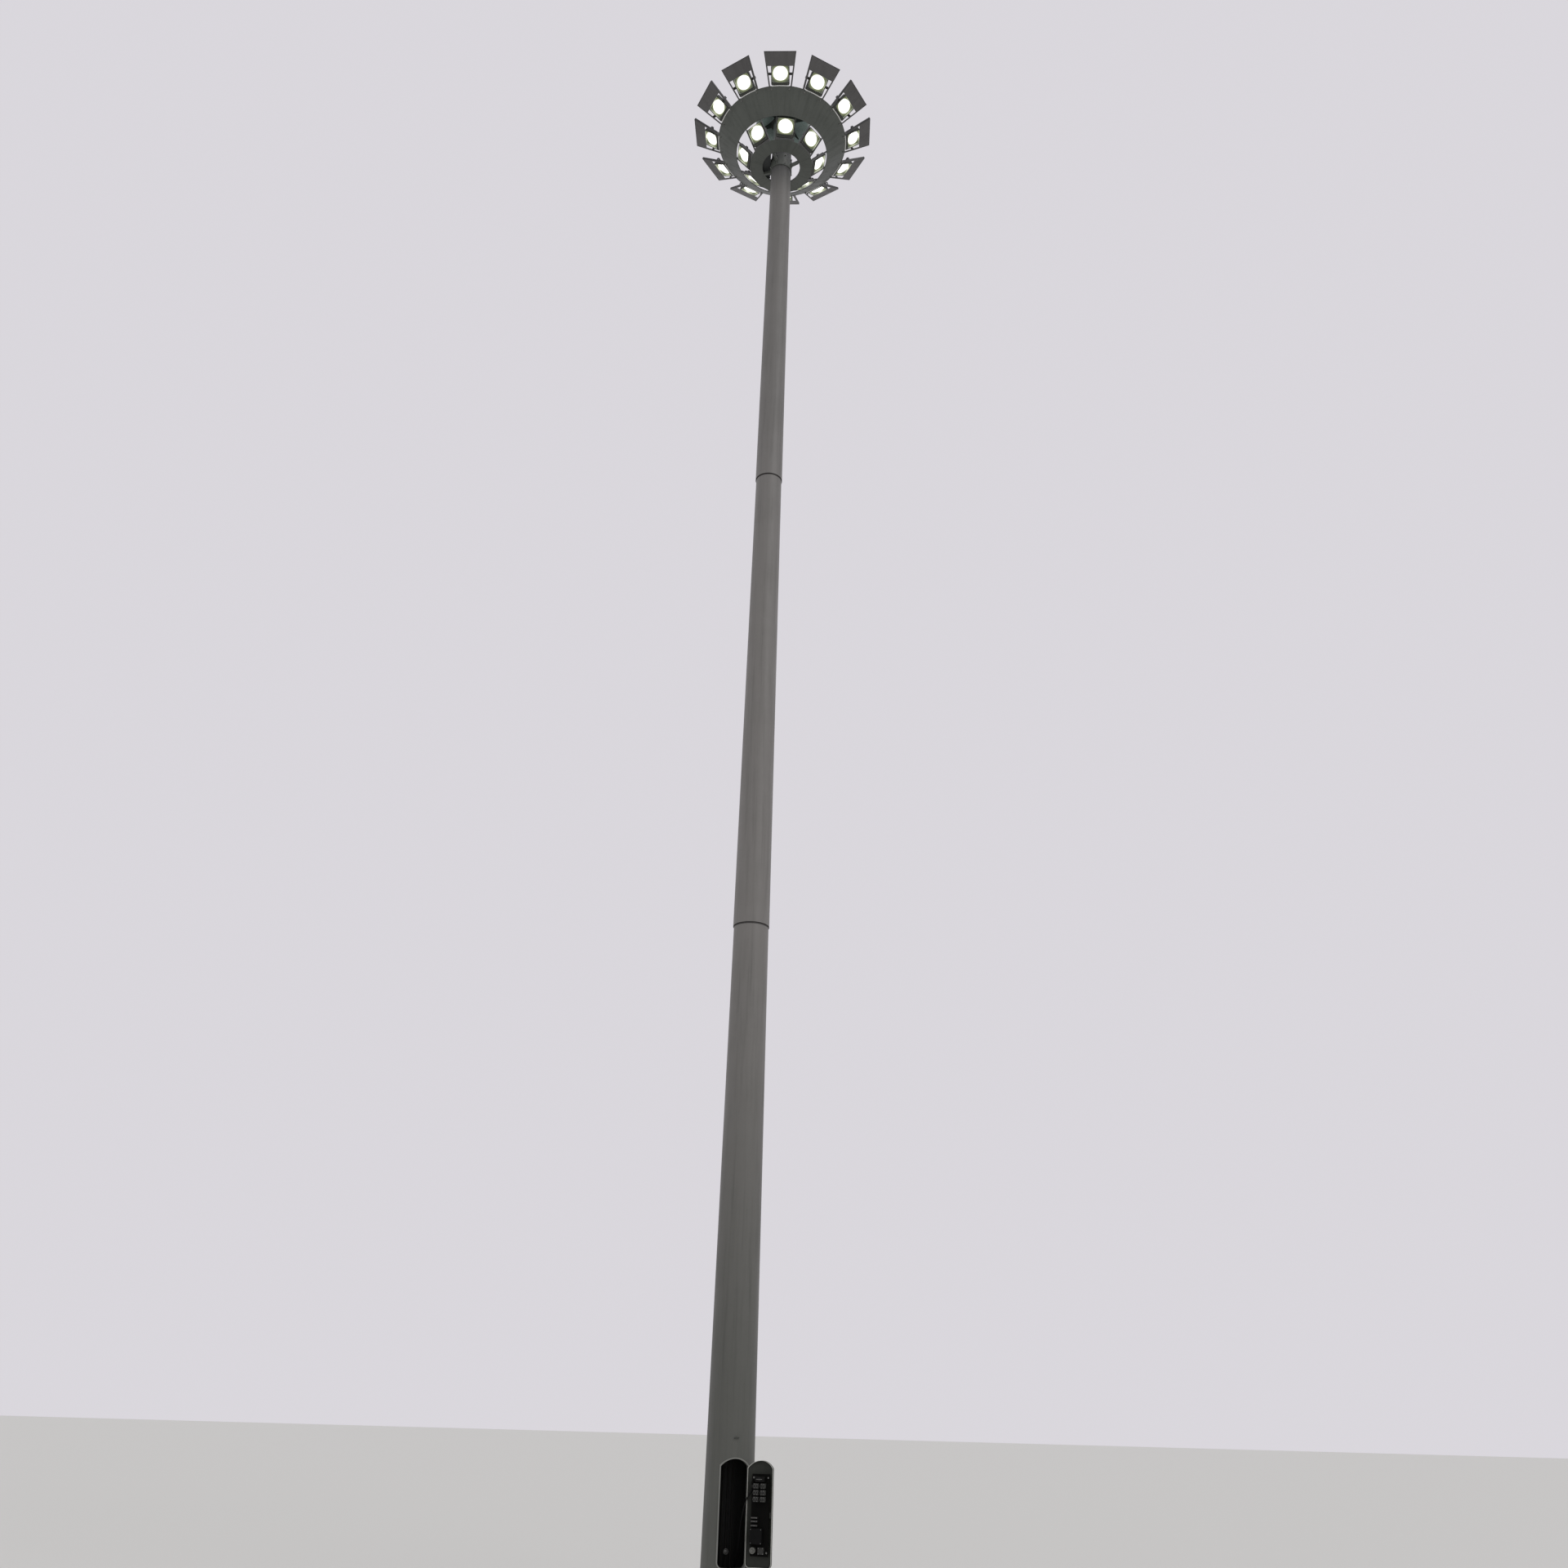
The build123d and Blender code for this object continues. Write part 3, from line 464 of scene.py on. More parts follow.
@dataclass(frozen=True)
class HoodPaint(Paint):
    """Paint of the rain hood, bare galvanised underneath, lightened there and glowing as painted lamplight."""

    shell: Cone = Cone(radius=0.385, taper=1.3, foot=19.636, limit=0.385, ceiling=19.884)
    # bare sheet, made lighter than it is to stand for the lamps' light: painted light
    lining: Colour = (0.5, 0.58, 0.56)
    lining_shade: Colour = (0.34, 0.41, 0.39)
    spill: Colour = (0.06, 0.077, 0.072)

    def tint(self, shader: Shader, colour: Value) -> Value:
        """Show bare sheet on the underside, lightened as painted lamplight."""
        bare = shader.blend(shader.noise(90.0, 3.0).step(0.4, 0.65), self.lining, self.lining_shade)
        return shader.blend(self.shell.inside(shader), colour, bare)

    def lamplight(self, shader: Shader) -> dict:
        """Sockets for painted lamplight on the underside, a glow in the emission."""
        share = self.shell.inside(shader) * shader.noise(3.0, 3.0).step(0.2, 0.8)
        return {"Emission_Color": shader.blend(share, UNLIT, self.spill), "Emission_Strength": 1.0}


@dataclass(frozen=True)
class Zinc:
    """Galvanised or zinc-plated steel with its spangle."""

    name: str
    colour: Colour
    shade: Colour
    rust: float
    rusty: Colour = (0.12, 0.05, 0.025)

    def material(self) -> Material:
        """Build the zinc: spangle cells in colour and roughness, a little rust in patches.

        Returns:
            The material.
        """
        shader = Shader(bpy.data.materials.new(self.name))
        sockets = {"Vector": shader.place(), "Scale": 150.0}
        grain = shader.value("ShaderNodeTexVoronoi", {"feature": "F1"}, sockets).step(0.1, 0.7)
        patches = shader.noise(30.0, 5.0).step(0.6, 0.75) * self.rust
        return shader.finish(
            Base_Color=shader.blend(patches, shader.blend(grain, self.colour, self.shade), self.rusty),
            Roughness=0.38 + grain * 0.14 + patches * 0.3,
            Metallic=0.85 - patches * 0.7,
            Normal=shader.bump(shader.noise(300.0, 3.0), 0.4, 0.0002),
        )


@dataclass(frozen=True)
class Spot:
    """Upright cylinder in which a moulding has another colour, at its rest place."""

    centre: Pair
    reach: float
    low: float
    high: float
    colour: Colour
    fade: float = 0.001

    def mask(self, shader: Shader) -> Value:
        """Mask of the surfaces inside the cylinder.

        Args:
            shader: the material being built.

        Returns:
            1 inside the cylinder, 0 outside it.
        """
        x, y, z = shader.axes()
        apart = ((x - self.centre[0]) ** 2.0 + (y - self.centre[1]) ** 2.0) ** 0.5
        level = z.step(self.low - self.fade, self.low) * z.step(self.high + self.fade, self.high)
        return apart.step(self.reach + self.fade, self.reach) * level


@dataclass(frozen=True)
class Moulding:
    """Moulded plastic or rubber with a fine grain."""

    name: str
    colour: Colour
    rough: float
    grain: float = 900.0
    sheen: float = 0.4
    spot: Spot | None = None

    def material(self) -> Material:
        """Build the moulding: slight yellowing and dust, and a fine grain.

        Returns:
            The material.
        """
        shader = Shader(bpy.data.materials.new(self.name))
        dust = shader.noise(24.0, 4.0).step(0.4, 0.8)
        worn = tuple(channel * 0.8 + 0.004 for channel in self.colour)
        colour = shader.blend(dust, self.colour, worn)
        if self.spot:
            other = shader.blend(dust, self.spot.colour, darker(self.spot.colour, 0.7))
            colour = shader.blend(self.spot.mask(shader), colour, other)
        return shader.finish(
            Base_Color=colour,
            Roughness=self.rough + dust * 0.12,
            Normal=shader.bump(shader.noise(self.grain, 2.0), 0.5, 0.00015),
            Specular_IOR_Level=self.sheen,
        )


@dataclass(frozen=True)
class Glow:
    """Round bright field of a lit floodlight, on a UV map that spans the glass from 0 to 1."""

    power: float = 2.1
    shift: float = 0.08
    full: float = 0.62
    fade: float = 0.95
    spill: float = 2.1

    def masks(self, shader: Shader) -> tuple[Value, Value]:
        """Masks of the bright field and of the spill round it.

        Args:
            shader: the material being built.

        Returns:
            The bright mask and the spill mask.
        """
        across, along = shader.flat()
        across = abs(across * 2.0 - 1.0)
        along = abs(along * 2.0 - 1.0 - self.shift)
        reach = across**self.power + along**self.power + shader.noise(70.0, 4.0) * 0.14
        return 1.0 - reach.step(self.full, self.fade), 1.0 - reach.step(self.full, self.spill)


@dataclass(frozen=True)
class LitGlass:
    """Floodlight glass and reflector walls with the lamp's light on them."""

    name: str
    core: Colour = (1.0, 1.0, 0.96)
    spill: Colour = (0.13, 0.15, 0.06)
    dark: Colour = (0.02, 0.024, 0.018)
    base: Colour = (0.05, 0.055, 0.05)
    milky: Colour = (0.85, 0.85, 0.83)
    rough: float = 0.12
    strength: float = 1.6
    glow: Glow = Glow()

    def material(self) -> Material:
        """Build the glass: a round bright field, an olive spill and dark corners.

        Returns:
            The material.
        """
        shader = Shader(bpy.data.materials.new(self.name))
        bright, spill = self.glow.masks(shader)
        around = shader.blend(spill * spill, self.dark, self.spill)
        return shader.finish(
            Base_Color=shader.blend(bright, self.base, self.milky),
            Roughness=self.rough + shader.noise(60.0, 4.0) * 0.16,
            Emission_Color=shader.blend(bright, around, self.core),
            Emission_Strength=self.strength,
            Coat_Weight=0.2,
        )


@dataclass(frozen=True)
class LitTrim:
    """Dark bezel casting whose inner edge catches the lamp's light."""

    name: str
    colour: Colour
    spill: Colour = (0.16, 0.18, 0.08)
    core: Colour = (1.0, 1.0, 0.9)
    glow: Glow = Glow(spill=1.75)

    def material(self) -> Material:
        """Build the casting: grained dark coat, lit where it meets the glass.

        Returns:
            The material.
        """
        shader = Shader(bpy.data.materials.new(self.name))
        bright, spill = self.glow.masks(shader)
        wear = shader.noise(60.0, 4.0).step(0.4, 0.75)
        lit = shader.blend(bright, self.spill, self.core)
        return shader.finish(
            Base_Color=shader.blend(wear, self.colour, darker(self.colour, 0.6)),
            Roughness=0.5 + wear * 0.15,
            Normal=shader.bump(shader.noise(500.0, 2.0), 0.5, 0.0003),
            Emission_Color=shader.blend(spill * spill, UNLIT, lit),
            Emission_Strength=1.0,
        )


MAIN_SWITCH = Spot(centre=(0.2116, -0.336), reach=0.2, low=1.12, high=1.2, colour=(0.006, 0.006, 0.0055))
RELAY_COVER = Spot(centre=(0.1938, -0.3188), reach=0.2, low=0.6, high=0.758, colour=(0.004, 0.004, 0.004))
BALLAST = Spot(centre=(0.2369, -0.3402), reach=0.043, low=0.5, high=0.65, colour=(0.024, 0.024, 0.022))


class Palette:
    """Every finish of the tower, built once."""

    finishes: tuple = (
        ShaftPaint("shaft_paint", (0.178, 0.171, 0.167), (0.124, 0.122, 0.117), Grime.RUNS),
        Paint("frame_paint", (0.2, 0.2, 0.19), (0.12, 0.125, 0.11)),
        Paint("flange_paint", (0.12, 0.125, 0.11), (0.07, 0.075, 0.062), gloss=0.5),
        Paint("crown_paint", (0.092, 0.1, 0.09), (0.06, 0.066, 0.058), Grime.STREAKS, gloss=0.42),
        PetalPaint("petal_paint", *GREY, Grime.STREAKS, gloss=0.4),
        HoodPaint("hood_paint", *GREY, Grime.STREAKS, gloss=0.4),
        # the hood's lip: its lower half takes the lighter lining and the glow, painted lamplight
        HoodPaint("hood_trim", *GREY, shell=Cone(radius=1.0, taper=0.0, ceiling=19.6028), spill=(0.13, 0.15, 0.14)),
        Paint("door_paint", (0.03, 0.032, 0.0265), (0.015, 0.016, 0.0133), gloss=0.5, sheen=0.22),
        # darker than the shaft paint to stand for the shadow under the lug: painted shade
        Paint("lug_paint", (0.05, 0.053, 0.047), (0.03, 0.032, 0.028), gloss=0.5),
        Paint("lamp_casting", (0.045, 0.048, 0.04), (0.024, 0.027, 0.022), gloss=0.5, peel=0.0004),
        Paint("board_panel", (0.003, 0.003, 0.0025), (0.002, 0.002, 0.0018), gloss=0.65, sheen=0.07),
        Paint("box_paint", (0.034, 0.038, 0.038), (0.021, 0.023, 0.023)),
        # white for the strips under each lamp: a painted highlight on the band's rim
        Paint("rim_highlight_white", (0.78, 0.78, 0.77), (0.62, 0.62, 0.6), gloss=0.4),
        Zinc("hinge_steel", *STEEL, rust=0.5),
        Zinc("bolt_zinc", (0.3, 0.3, 0.29), (0.18, 0.18, 0.17), rust=0.7),
        Zinc("cleat_steel", *STEEL, rust=0.3),
        Moulding("module_plastic", (0.055, 0.055, 0.052), 0.5, sheen=0.15, spot=MAIN_SWITCH),
        Moulding("terminal_plastic", (0.02, 0.019, 0.019), 0.55, sheen=0.1, spot=RELAY_COVER),
        Moulding("ceramic_plastic", (0.12, 0.12, 0.11), 0.35, sheen=0.3, spot=BALLAST),
        Moulding("toggle_plastic", (0.008, 0.008, 0.008), 0.4, sheen=0.25),
        Moulding("handle_plastic", (0.1, 0.1, 0.095), 0.4),
        # pale for a rubber seal: partly a painted highlight along the leaf's rim edge
        Moulding("seal_rubber", (0.42, 0.42, 0.39), 0.6, grain=500.0),
        Moulding("riser_sheath", (0.011, 0.011, 0.01), 0.65, grain=500.0, sheen=0.12),
        Moulding("cable_rubber", (0.004, 0.004, 0.004), 0.65, grain=500.0, sheen=0.12),
        LitGlass("lit_glass"),
        LitGlass("reflector", base=(0.35, 0.36, 0.33), rough=0.25),
        LitTrim("lamp_bezel", (0.045, 0.048, 0.04)),
    )

    def __init__(self) -> None:
        """Build the materials by name."""
        self.made = {finish.name: finish.material() for finish in self.finishes}

    def dress(self, piece: Piece, name: str) -> None:
        """Give a piece the finish of one name all over."""
        piece.data.materials.clear()
        piece.data.materials.append(self.made[name])


class Bench:
    """Small modelling steps, each an operator call on the active piece."""

    @staticmethod
    def take(*pieces: Piece) -> None:
        """Select only these pieces, the first of them active.

        Args:
            pieces: the objects, none of them to deselect all.
        """
        bpy.ops.object.select_all(action="DESELECT")
        for piece in pieces:
            piece.select_set(True)
            bpy.context.view_layer.objects.active = pieces[0]

    @staticmethod
    def new(name: str, data: bpy.types.ID) -> Piece:
        """Make an object of some data and link it to the scene.

        Args:
            name: the object's name.
            data: its mesh, curve, camera or lamp.

        Returns:
            The object.
        """
        made = bpy.data.objects.new(name, data)
        bpy.context.scene.collection.objects.link(made)
        return made

    @staticmethod
    def edit(mode: str = "FACE", action: str = "DESELECT") -> None:
        """Go to edit mode.

        Args:
            mode: VERT, EDGE or FACE selection.
            action: SELECT to start with the whole mesh selected, DESELECT for none of it.
        """
        bpy.ops.object.mode_set(mode="EDIT")
        bpy.ops.mesh.select_mode(type=mode)
        bpy.ops.mesh.select_all(action=action)

    @staticmethod
    def done() -> None:
        """Leave edit mode."""
        bpy.ops.object.mode_set(mode="OBJECT")

    @staticmethod
    def pick_faces(piece: Piece, test: Callable[[bpy.types.MeshPolygon], bool]) -> None:
        """Select the faces that pass a test, in edit mode.

        Args:
            piece: the mesh object in edit mode.
            test: takes a face and says whether it is wanted.
        """
        bpy.ops.mesh.select_mode(type="FACE")
        bpy.ops.mesh.select_all(action="DESELECT")
        bpy.ops.object.mode_set(mode="OBJECT")
        for face in piece.data.polygons:
            face.select = bool(test(face))
        bpy.ops.object.mode_set(mode="EDIT")

    @staticmethod
    def face_out() -> None:
        """Select the whole mesh and turn its faces outwards."""
        bpy.ops.mesh.select_all(action="SELECT")
        bpy.ops.mesh.normals_make_consistent(inside=False)

    @staticmethod
    def push(depth: float) -> None:
        """Extrude the selected faces along Z."""
        bpy.ops.mesh.extrude_region_move(TRANSFORM_OT_translate={"value": (0, 0, depth)})

    @staticmethod
    def smooth(angle: float) -> None:
        """Shade the active piece smooth up to an angle in degrees."""
        bpy.ops.object.shade_smooth_by_angle(angle=radians(angle))

    @staticmethod
    def settle(piece: Piece, scale: Point = (1.0, 1.0, 1.0)) -> Piece:
        """Scale a piece and apply its place to its mesh.

        Args:
            piece: the object.
            scale: its scale.

        Returns:
            The piece, which now sits at the origin.
        """
        Bench.take(piece)
        piece.scale = scale
        bpy.ops.object.transform_apply(location=True, rotation=True, scale=True)
        return piece

    @staticmethod
    def soften(piece: Piece, width: float, segments: int = 2) -> None:
        """Bevel a piece's sharp edges with an applied modifier.

        Args:
            piece: the object.
            width: the bevel's width in metres.
            segments: the bevel's steps.
        """
        Bench.take(piece)
        bevel = piece.modifiers.new("edge", "BEVEL")
        bevel.width = width
        bevel.segments = segments
        bevel.limit_method = "ANGLE"
        bevel.angle_limit = radians(35)
        bpy.ops.object.modifier_apply(modifier=bevel.name)
        Bench.smooth(35)

    @staticmethod
    def thicken(piece: Piece, thickness: float, offset: float) -> None:
        """Give the active sheet a wall with an applied modifier.

        Args:
            piece: the sheet.
            thickness: the wall's thickness.
            offset: 1 for a wall outside the sheet, -1 for one inside it.
        """
        wall = piece.modifiers.new("wall", "SOLIDIFY")
        wall.thickness = thickness
        wall.offset = offset
        bpy.ops.object.modifier_apply(modifier=wall.name)

    @staticmethod
    def join(parts: list[Piece], name: str) -> Piece:
        """Join several objects into one named piece.

        Args:
            parts: the objects.
            name: the piece's name.

        Returns:
            The piece.
        """
        Bench.take(*parts)
        if len(parts) > 1:
            bpy.ops.object.join()
        parts[0].name = name
        return parts[0]

    @staticmethod
    def repeat(pattern: Piece, places: list[Matrix], name: str) -> Piece:
        """Copy a pattern to every place, each copy with its own mesh, and join the copies.

        Args:
            pattern: the piece modelled about the origin, which is used up.
            places: where each copy goes.
            name: the joined piece's name.

        Returns:
            The joined piece.
        """
        copies = []
        for place in places:
            copy = Bench.new(name, pattern.data.copy())
            copy.data.transform(place)
            copies.append(copy)
        bpy.data.objects.remove(pattern)
        return Bench.join(copies, name)

    @staticmethod
    def cylinder(radius: float, depth: float, sides: int, foot: float = 0.0) -> Piece:
        """Add an upright cylinder, as a start for a round piece.

        Args:
            radius: its radius.
            depth: its height.
            sides: its sides.
            foot: the height that it stands at.

        Returns:
            The cylinder.
        """
        Bench.take()
        place = (0, 0, foot + depth / 2)
        bpy.ops.mesh.primitive_cylinder_add(vertices=sides, radius=radius, depth=depth, location=place)
        return Bench.settle(bpy.context.object)

    @staticmethod
    def dish(piece: Piece, *insets: Pair) -> None:
        """Inset the top of a round piece.

        Args:
            piece: the object.
            insets: thickness and depth of each inset in turn.
        """
        Bench.edit()
        Bench.pick_faces(piece, lambda face: face.normal.z > 0.9)
        for thickness, depth in insets:
            bpy.ops.mesh.inset(thickness=thickness, depth=depth)
        Bench.done()


@dataclass(frozen=True)
class Block:
    """Block with softened edges."""

    size: Point
    centre: Point
    width: float

    def build(self) -> Piece:
        """Model the block about its centre.

        Returns:
            The block.
        """
        Bench.take()
        bpy.ops.mesh.primitive_cube_add(size=1.0, location=self.centre)
        piece = Bench.settle(bpy.context.object, self.size)
        Bench.soften(piece, self.width)
        return piece


@dataclass(frozen=True)
class Drum:
    """Short cylinder, its top dished and its edges softened."""

    radius: float
    depth: float
    width: float
    sides: int = 24
    rim: float = 0.35
    sink: float = 0.06

    def build(self) -> Piece:
        """Model the drum upright on the origin.

        Returns:
            The drum.
        """
        piece = Bench.cylinder(self.radius, self.depth, self.sides)
        Bench.dish(piece, (self.radius * self.rim, -self.depth * self.sink))
        Bench.soften(piece, self.width)
        return piece


@dataclass(frozen=True)
class Bead:
    """Rounded section of a width and height, spun about the mast's axis at a radius and height."""

    rim: Pair
    size: Pair
    steps: int
    reach: float = 360.0

    def build(self, name: str) -> Piece:
        """Draw the section upright and spin it; a spin that is not all round is centred over the door's side.

        Args:
            name: the piece's name.

        Returns:
            The ring or arc.
        """
        Bench.take()
        place = (self.rim[0], 0, self.rim[1])
        bpy.ops.mesh.primitive_plane_add(size=1.0, location=place, rotation=(pi / 2, 0, 0))
        piece = Bench.settle(bpy.context.object, (*self.size, 1.0))
        piece.name = name
        Bench.edit("VERT", "SELECT")
        bpy.ops.mesh.bevel(offset=min(self.size) * 0.42, segments=3, affect="VERTICES")
        bpy.ops.mesh.select_all(action="SELECT")
        bpy.ops.mesh.spin(steps=self.steps, angle=radians(self.reach), center=(0, 0, 0), axis=(0, 0, 1))
        bpy.ops.mesh.select_all(action="SELECT")
        bpy.ops.mesh.remove_doubles(threshold=1e-5)
        closed = self.reach == 360.0
        if closed:
            Bench.pick_faces(piece, lambda face: len(face.vertices) > 4)
            bpy.ops.mesh.delete(type="FACE")
        Bench.face_out()
        Bench.done()
        if not closed:
            middle = sum((vertex.co for vertex in piece.data.vertices), Vector())
            piece.data.transform(Matrix.Rotation(-pi / 2 - atan2(middle.y, middle.x), 4, "Z"))
        Bench.smooth(60)
        return piece


def facing(spot: Point, tip: float = pi / 2) -> Matrix:
    """Place at a spot, its Z axis tipped about X; a quarter turn faces it towards -Y."""
    return Matrix.Translation(spot) @ Matrix.Rotation(tip, 4, "X")


def swung(azimuth: float) -> Matrix:
    """Turn about the Z axis through the origin, by degrees."""
    return Matrix.Rotation(radians(azimuth), 4, "Z")


def round_axis(place: Matrix, count: int, phase: float = 0.0) -> list[Matrix]:
    """Repeat a place that is at azimuth 0 about the mast's axis, the first at the phase in degrees."""
    return [swung(phase + index * 360 / count) @ place for index in range(count)]


@dataclass
class LampFrame:
    """Tilted frame of a ring of lamps: x across, y outwards and up, z off the lamps' backs."""

    radius: float
    level: float
    tilt: float
    count: int
    phase: float

    def places(self) -> list[Matrix]:
        """Place every lamp of the ring.

        Returns:
            One matrix per lamp, from the tilted frame to the tower's frame.
        """
        lean = radians(self.tilt)
        rows = (
            (-1.0, 0.0, 0.0, 0.0),
            (0.0, -cos(lean), sin(lean), -self.radius),
            (0.0, sin(lean), cos(lean), self.level),
            (0.0, 0.0, 0.0, 1.0),
        )
        return round_axis(Matrix(rows), self.count, self.phase)


@dataclass(frozen=True)
class HexBolt:
    """Hexagon nut or head on a washer, with the bolt's end standing proud."""

    across_flats: float
    height: float
    washer_radius: float
    washer: float
    stub: float
    stub_radius: float

    def build(self) -> Piece:
        """Model one bolt upright on the origin.

        Returns:
            The bolt, to be repeated.
        """
        washer = Bench.cylinder(self.washer_radius, self.washer, 24)
        Bench.soften(washer, self.washer * 0.25, 1)
        nut = Bench.cylinder(self.across_flats / 2 / cos(pi / 6), self.height, 6, self.washer)
        Bench.soften(nut, self.across_flats * 0.05)
        stub = Bench.cylinder(self.stub_radius, self.stub, 16, self.washer + self.height)
        Bench.dish(stub, (self.stub_radius * 0.22, self.stub_radius * 0.18))
        return Bench.join([washer, nut, stub], "bolt")


@dataclass
class Assembly:
    """Group of pieces that take their finishes from the palette."""

    palette: Palette

    def add(self, piece: Piece, finish: str, body: Body = Body.MAST, slot: str = "") -> Piece:
        """Dress a finished piece, make it ride on its body and report it.

        Args:
            piece: the finished piece.
            finish: the finish's name, or nothing for a piece that is dressed already.
            body: the body that carries it.
            slot: the record's material slot, not used.

        Returns:
            The piece.
        """
        if finish:
            self.palette.dress(piece, finish)
        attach(piece, body.value)
        log.info("%s rides on %s with %d faces", piece.name, body.value, len(piece.data.polygons))
        return piece


@dataclass
class Foundation(Assembly):
    """Anchor nuts on the base flange, and the weld round the shaft's foot."""

    bolt_circle: float = 0.33
    flange_top: float = 0.025
    count: int = 12
    weld: Bead = Bead((0.2418, 0.029), (0.011, 0.009), 96)
    anchor: HexBolt = HexBolt(0.046, 0.024, 0.031, 0.005, 0.032, 0.015)

    def build(self) -> None:
        """Add the anchor nuts and the weld."""
        seat = Matrix.Translation((0, -self.bolt_circle, self.flange_top))
        places = round_axis(seat, self.count, 180 / self.count)
        self.add(Bench.repeat(self.anchor.build(), places, "anchor_nuts"), "bolt_zinc")
        self.add(self.weld.build("foot_weld"), "flange_paint", slot="flange_paint")


@dataclass(frozen=True)
class Corners:
    """Four fixings at the corners of an upright rectangle on a board or lid."""

    across: Pair
    heights: Pair
    proud: float = 0.0

    def spots(self) -> list[Point]:
        """Each corner's distance across, height and distance off the board, or off the axis for a lid."""
        return [(x, z, self.proud) for z in self.heights for x in self.across]


@dataclass
class DoorGear(Assembly):
    """Fittings of the access door and of its switchgear board, drawn on the closed leaf and then swung open."""

    leaf: Piece
    hinge: Point = (0.12732, -0.215286, 0.0)
    hinge_azimuth: float = 30.6
    open_angle: float = 150.0
    hinge_levels: Pair = (0.64, 1.08)
    strap_spot: Pair = (-0.05, -0.009)
    bracket_spot: Pair = (0.043, 0.004)
    bracket_reach: float = 0.0305
    pin_reach: float = 0.05
    front: float = -0.181917
    module_depth: float = 0.058
    shoulder: float = 0.78
    main_switch: Pair = (-0.006, 1.1475)
    breaker_rows: tuple[float, ...] = (1.072, 1.018, 0.964)
    breaker_columns: tuple[Pair, ...] = ((-0.034, 0.041), (0.029, 0.049))
    breaker_height: float = 0.041
    terminal_levels: tuple[float, ...] = (0.836, 0.808, 0.774)
    terminal_start: float = 0.015
    terminal_pitch: float = 0.01
    terminal_count: int = 6
    terminal_depth: float = 0.034
    fuse_base: Point = (0.048, 0.577, 0.0225)
    relay_cover: Corners = Corners((-0.03, 0.066), (0.636, 0.744), 0.046)
    ballast: Corners = Corners((-0.051, -0.009), (0.554, 0.598), 0.04)
    board: Corners = Corners((-0.074, 0.062), (0.56, 1.16))
    lock: Point = (-0.101, -0.215878, 0.869)
    sill_radius: float = 0.239
    taper: float = 0.007
    rim_depth: float = 0.02
    rim_margin: float = 0.0007
    seal_lap: float = 0.003
    seal_wall: float = 0.005
    seal_edge: float = 0.0012
    toggle: Block = Block((0.007, 0.014, 0.012), (0, 0, 0.004), 0.0018)
    boss: Drum = Drum(0.014, 0.006, 0.0015)
    bar: Block = Block((0.056, 0.0055, 0.009), (0, 0, 0.0095), 0.0018)
    fuse: Drum = Drum(0.0115, 0.03, 0.002, 12)
    screw: Pair = (0.0034, 0.002)
    recess: tuple[Pair, ...] = ((0.0007, 0.0005), (0.001, -0.0006))
    pin_head: Drum = Drum(0.0065, 0.004, 0.0014)
    collar: Drum = Drum(0.01, 0.003, 0.001)
    drive: Drum = Drum(0.0045, 0.0045, 0.0006, 3)
    nut: HexBolt = HexBolt(0.01, 0.005, 0.0075, 0.0012, 0.004, 0.003)
    strap_bolt: HexBolt = HexBolt(0.013, 0.006, 0.0095, 0.0015, 0.003, 0.004)

    def opened(self) -> Matrix:
        """Turn from the closed leaf to its open rest place."""
        to_hinge = Matrix.Translation(self.hinge)
        return to_hinge @ swung(self.open_angle) @ to_hinge.inverted()

    def on_board(self, x: float, z: float, proud: float) -> Matrix:
        """Place across the closed leaf, at a height and a distance off the board, facing off it."""
        return self.opened() @ facing((x, self.front + proud, z), -pi / 2)

    def over_breakers(self, shares: tuple[float, ...], proud: float) -> list[Matrix]:
        """Places over both halves of every breaker.

        Args:
            shares: heights on a breaker, as shares of its own height.
            proud: distance off the board.

        Returns:
            The places.
        """
        return [
            self.on_board(column + side * width, row + share * self.breaker_height, proud)
            for row in self.breaker_rows
            for column, width in self.breaker_columns
            for side in (-0.25, 0.25)
            for share in shares
        ]

    def toggles(self) -> Piece:
        """Model the breakers' toggles, two on each."""
        places = self.over_breakers((0.5,), self.module_depth)
        return Bench.repeat(self.toggle.build(), places, "breaker_toggles")

    def switch_handle(self) -> Piece:
        """Model the main switch's turning handle on its round boss.

        Returns:
            The handle, dressed.
        """
        boss, bar = self.boss.build(), self.bar.build()
        self.palette.dress(boss, "toggle_plastic")
        self.palette.dress(bar, "handle_plastic")
        handle = Bench.join([boss, bar], "switch_handle")
        handle.data.transform(self.on_board(*self.main_switch, self.module_depth))
        return handle

    def fuse_cap(self) -> Piece:
        """Model the screw-in cap in the round fuse base.

        Returns:
            The cap.
        """
        cap = self.fuse.build()
        cap.name = "fuse_cap"
        cap.data.transform(self.on_board(*self.fuse_base))
        return cap

    def screws(self) -> Piece:
        """Model the round screws of terminals, breakers and covers, each with a recess.

        Returns:
            The screws as one piece.
        """
        screw = Bench.cylinder(*self.screw, sides=16)
        Bench.dish(screw, *self.recess)
        spots = self.relay_cover.spots() + self.ballast.spots()
        for level in self.terminal_levels:
            for step in range(self.terminal_count):
                spots.append((self.terminal_start + step * self.terminal_pitch, level, self.terminal_depth))
        places = [self.on_board(*spot) for spot in spots]
        places += self.over_breakers((0.15, 0.85), self.module_depth * self.shoulder)
        return Bench.repeat(screw, places, "terminal_screws")

    def board_nuts(self) -> Piece:
        """Model the nuts that hold the board on its studs."""
        places = [self.on_board(*spot) for spot in self.board.spots()]
        return Bench.repeat(self.nut.build(), places, "board_nuts")

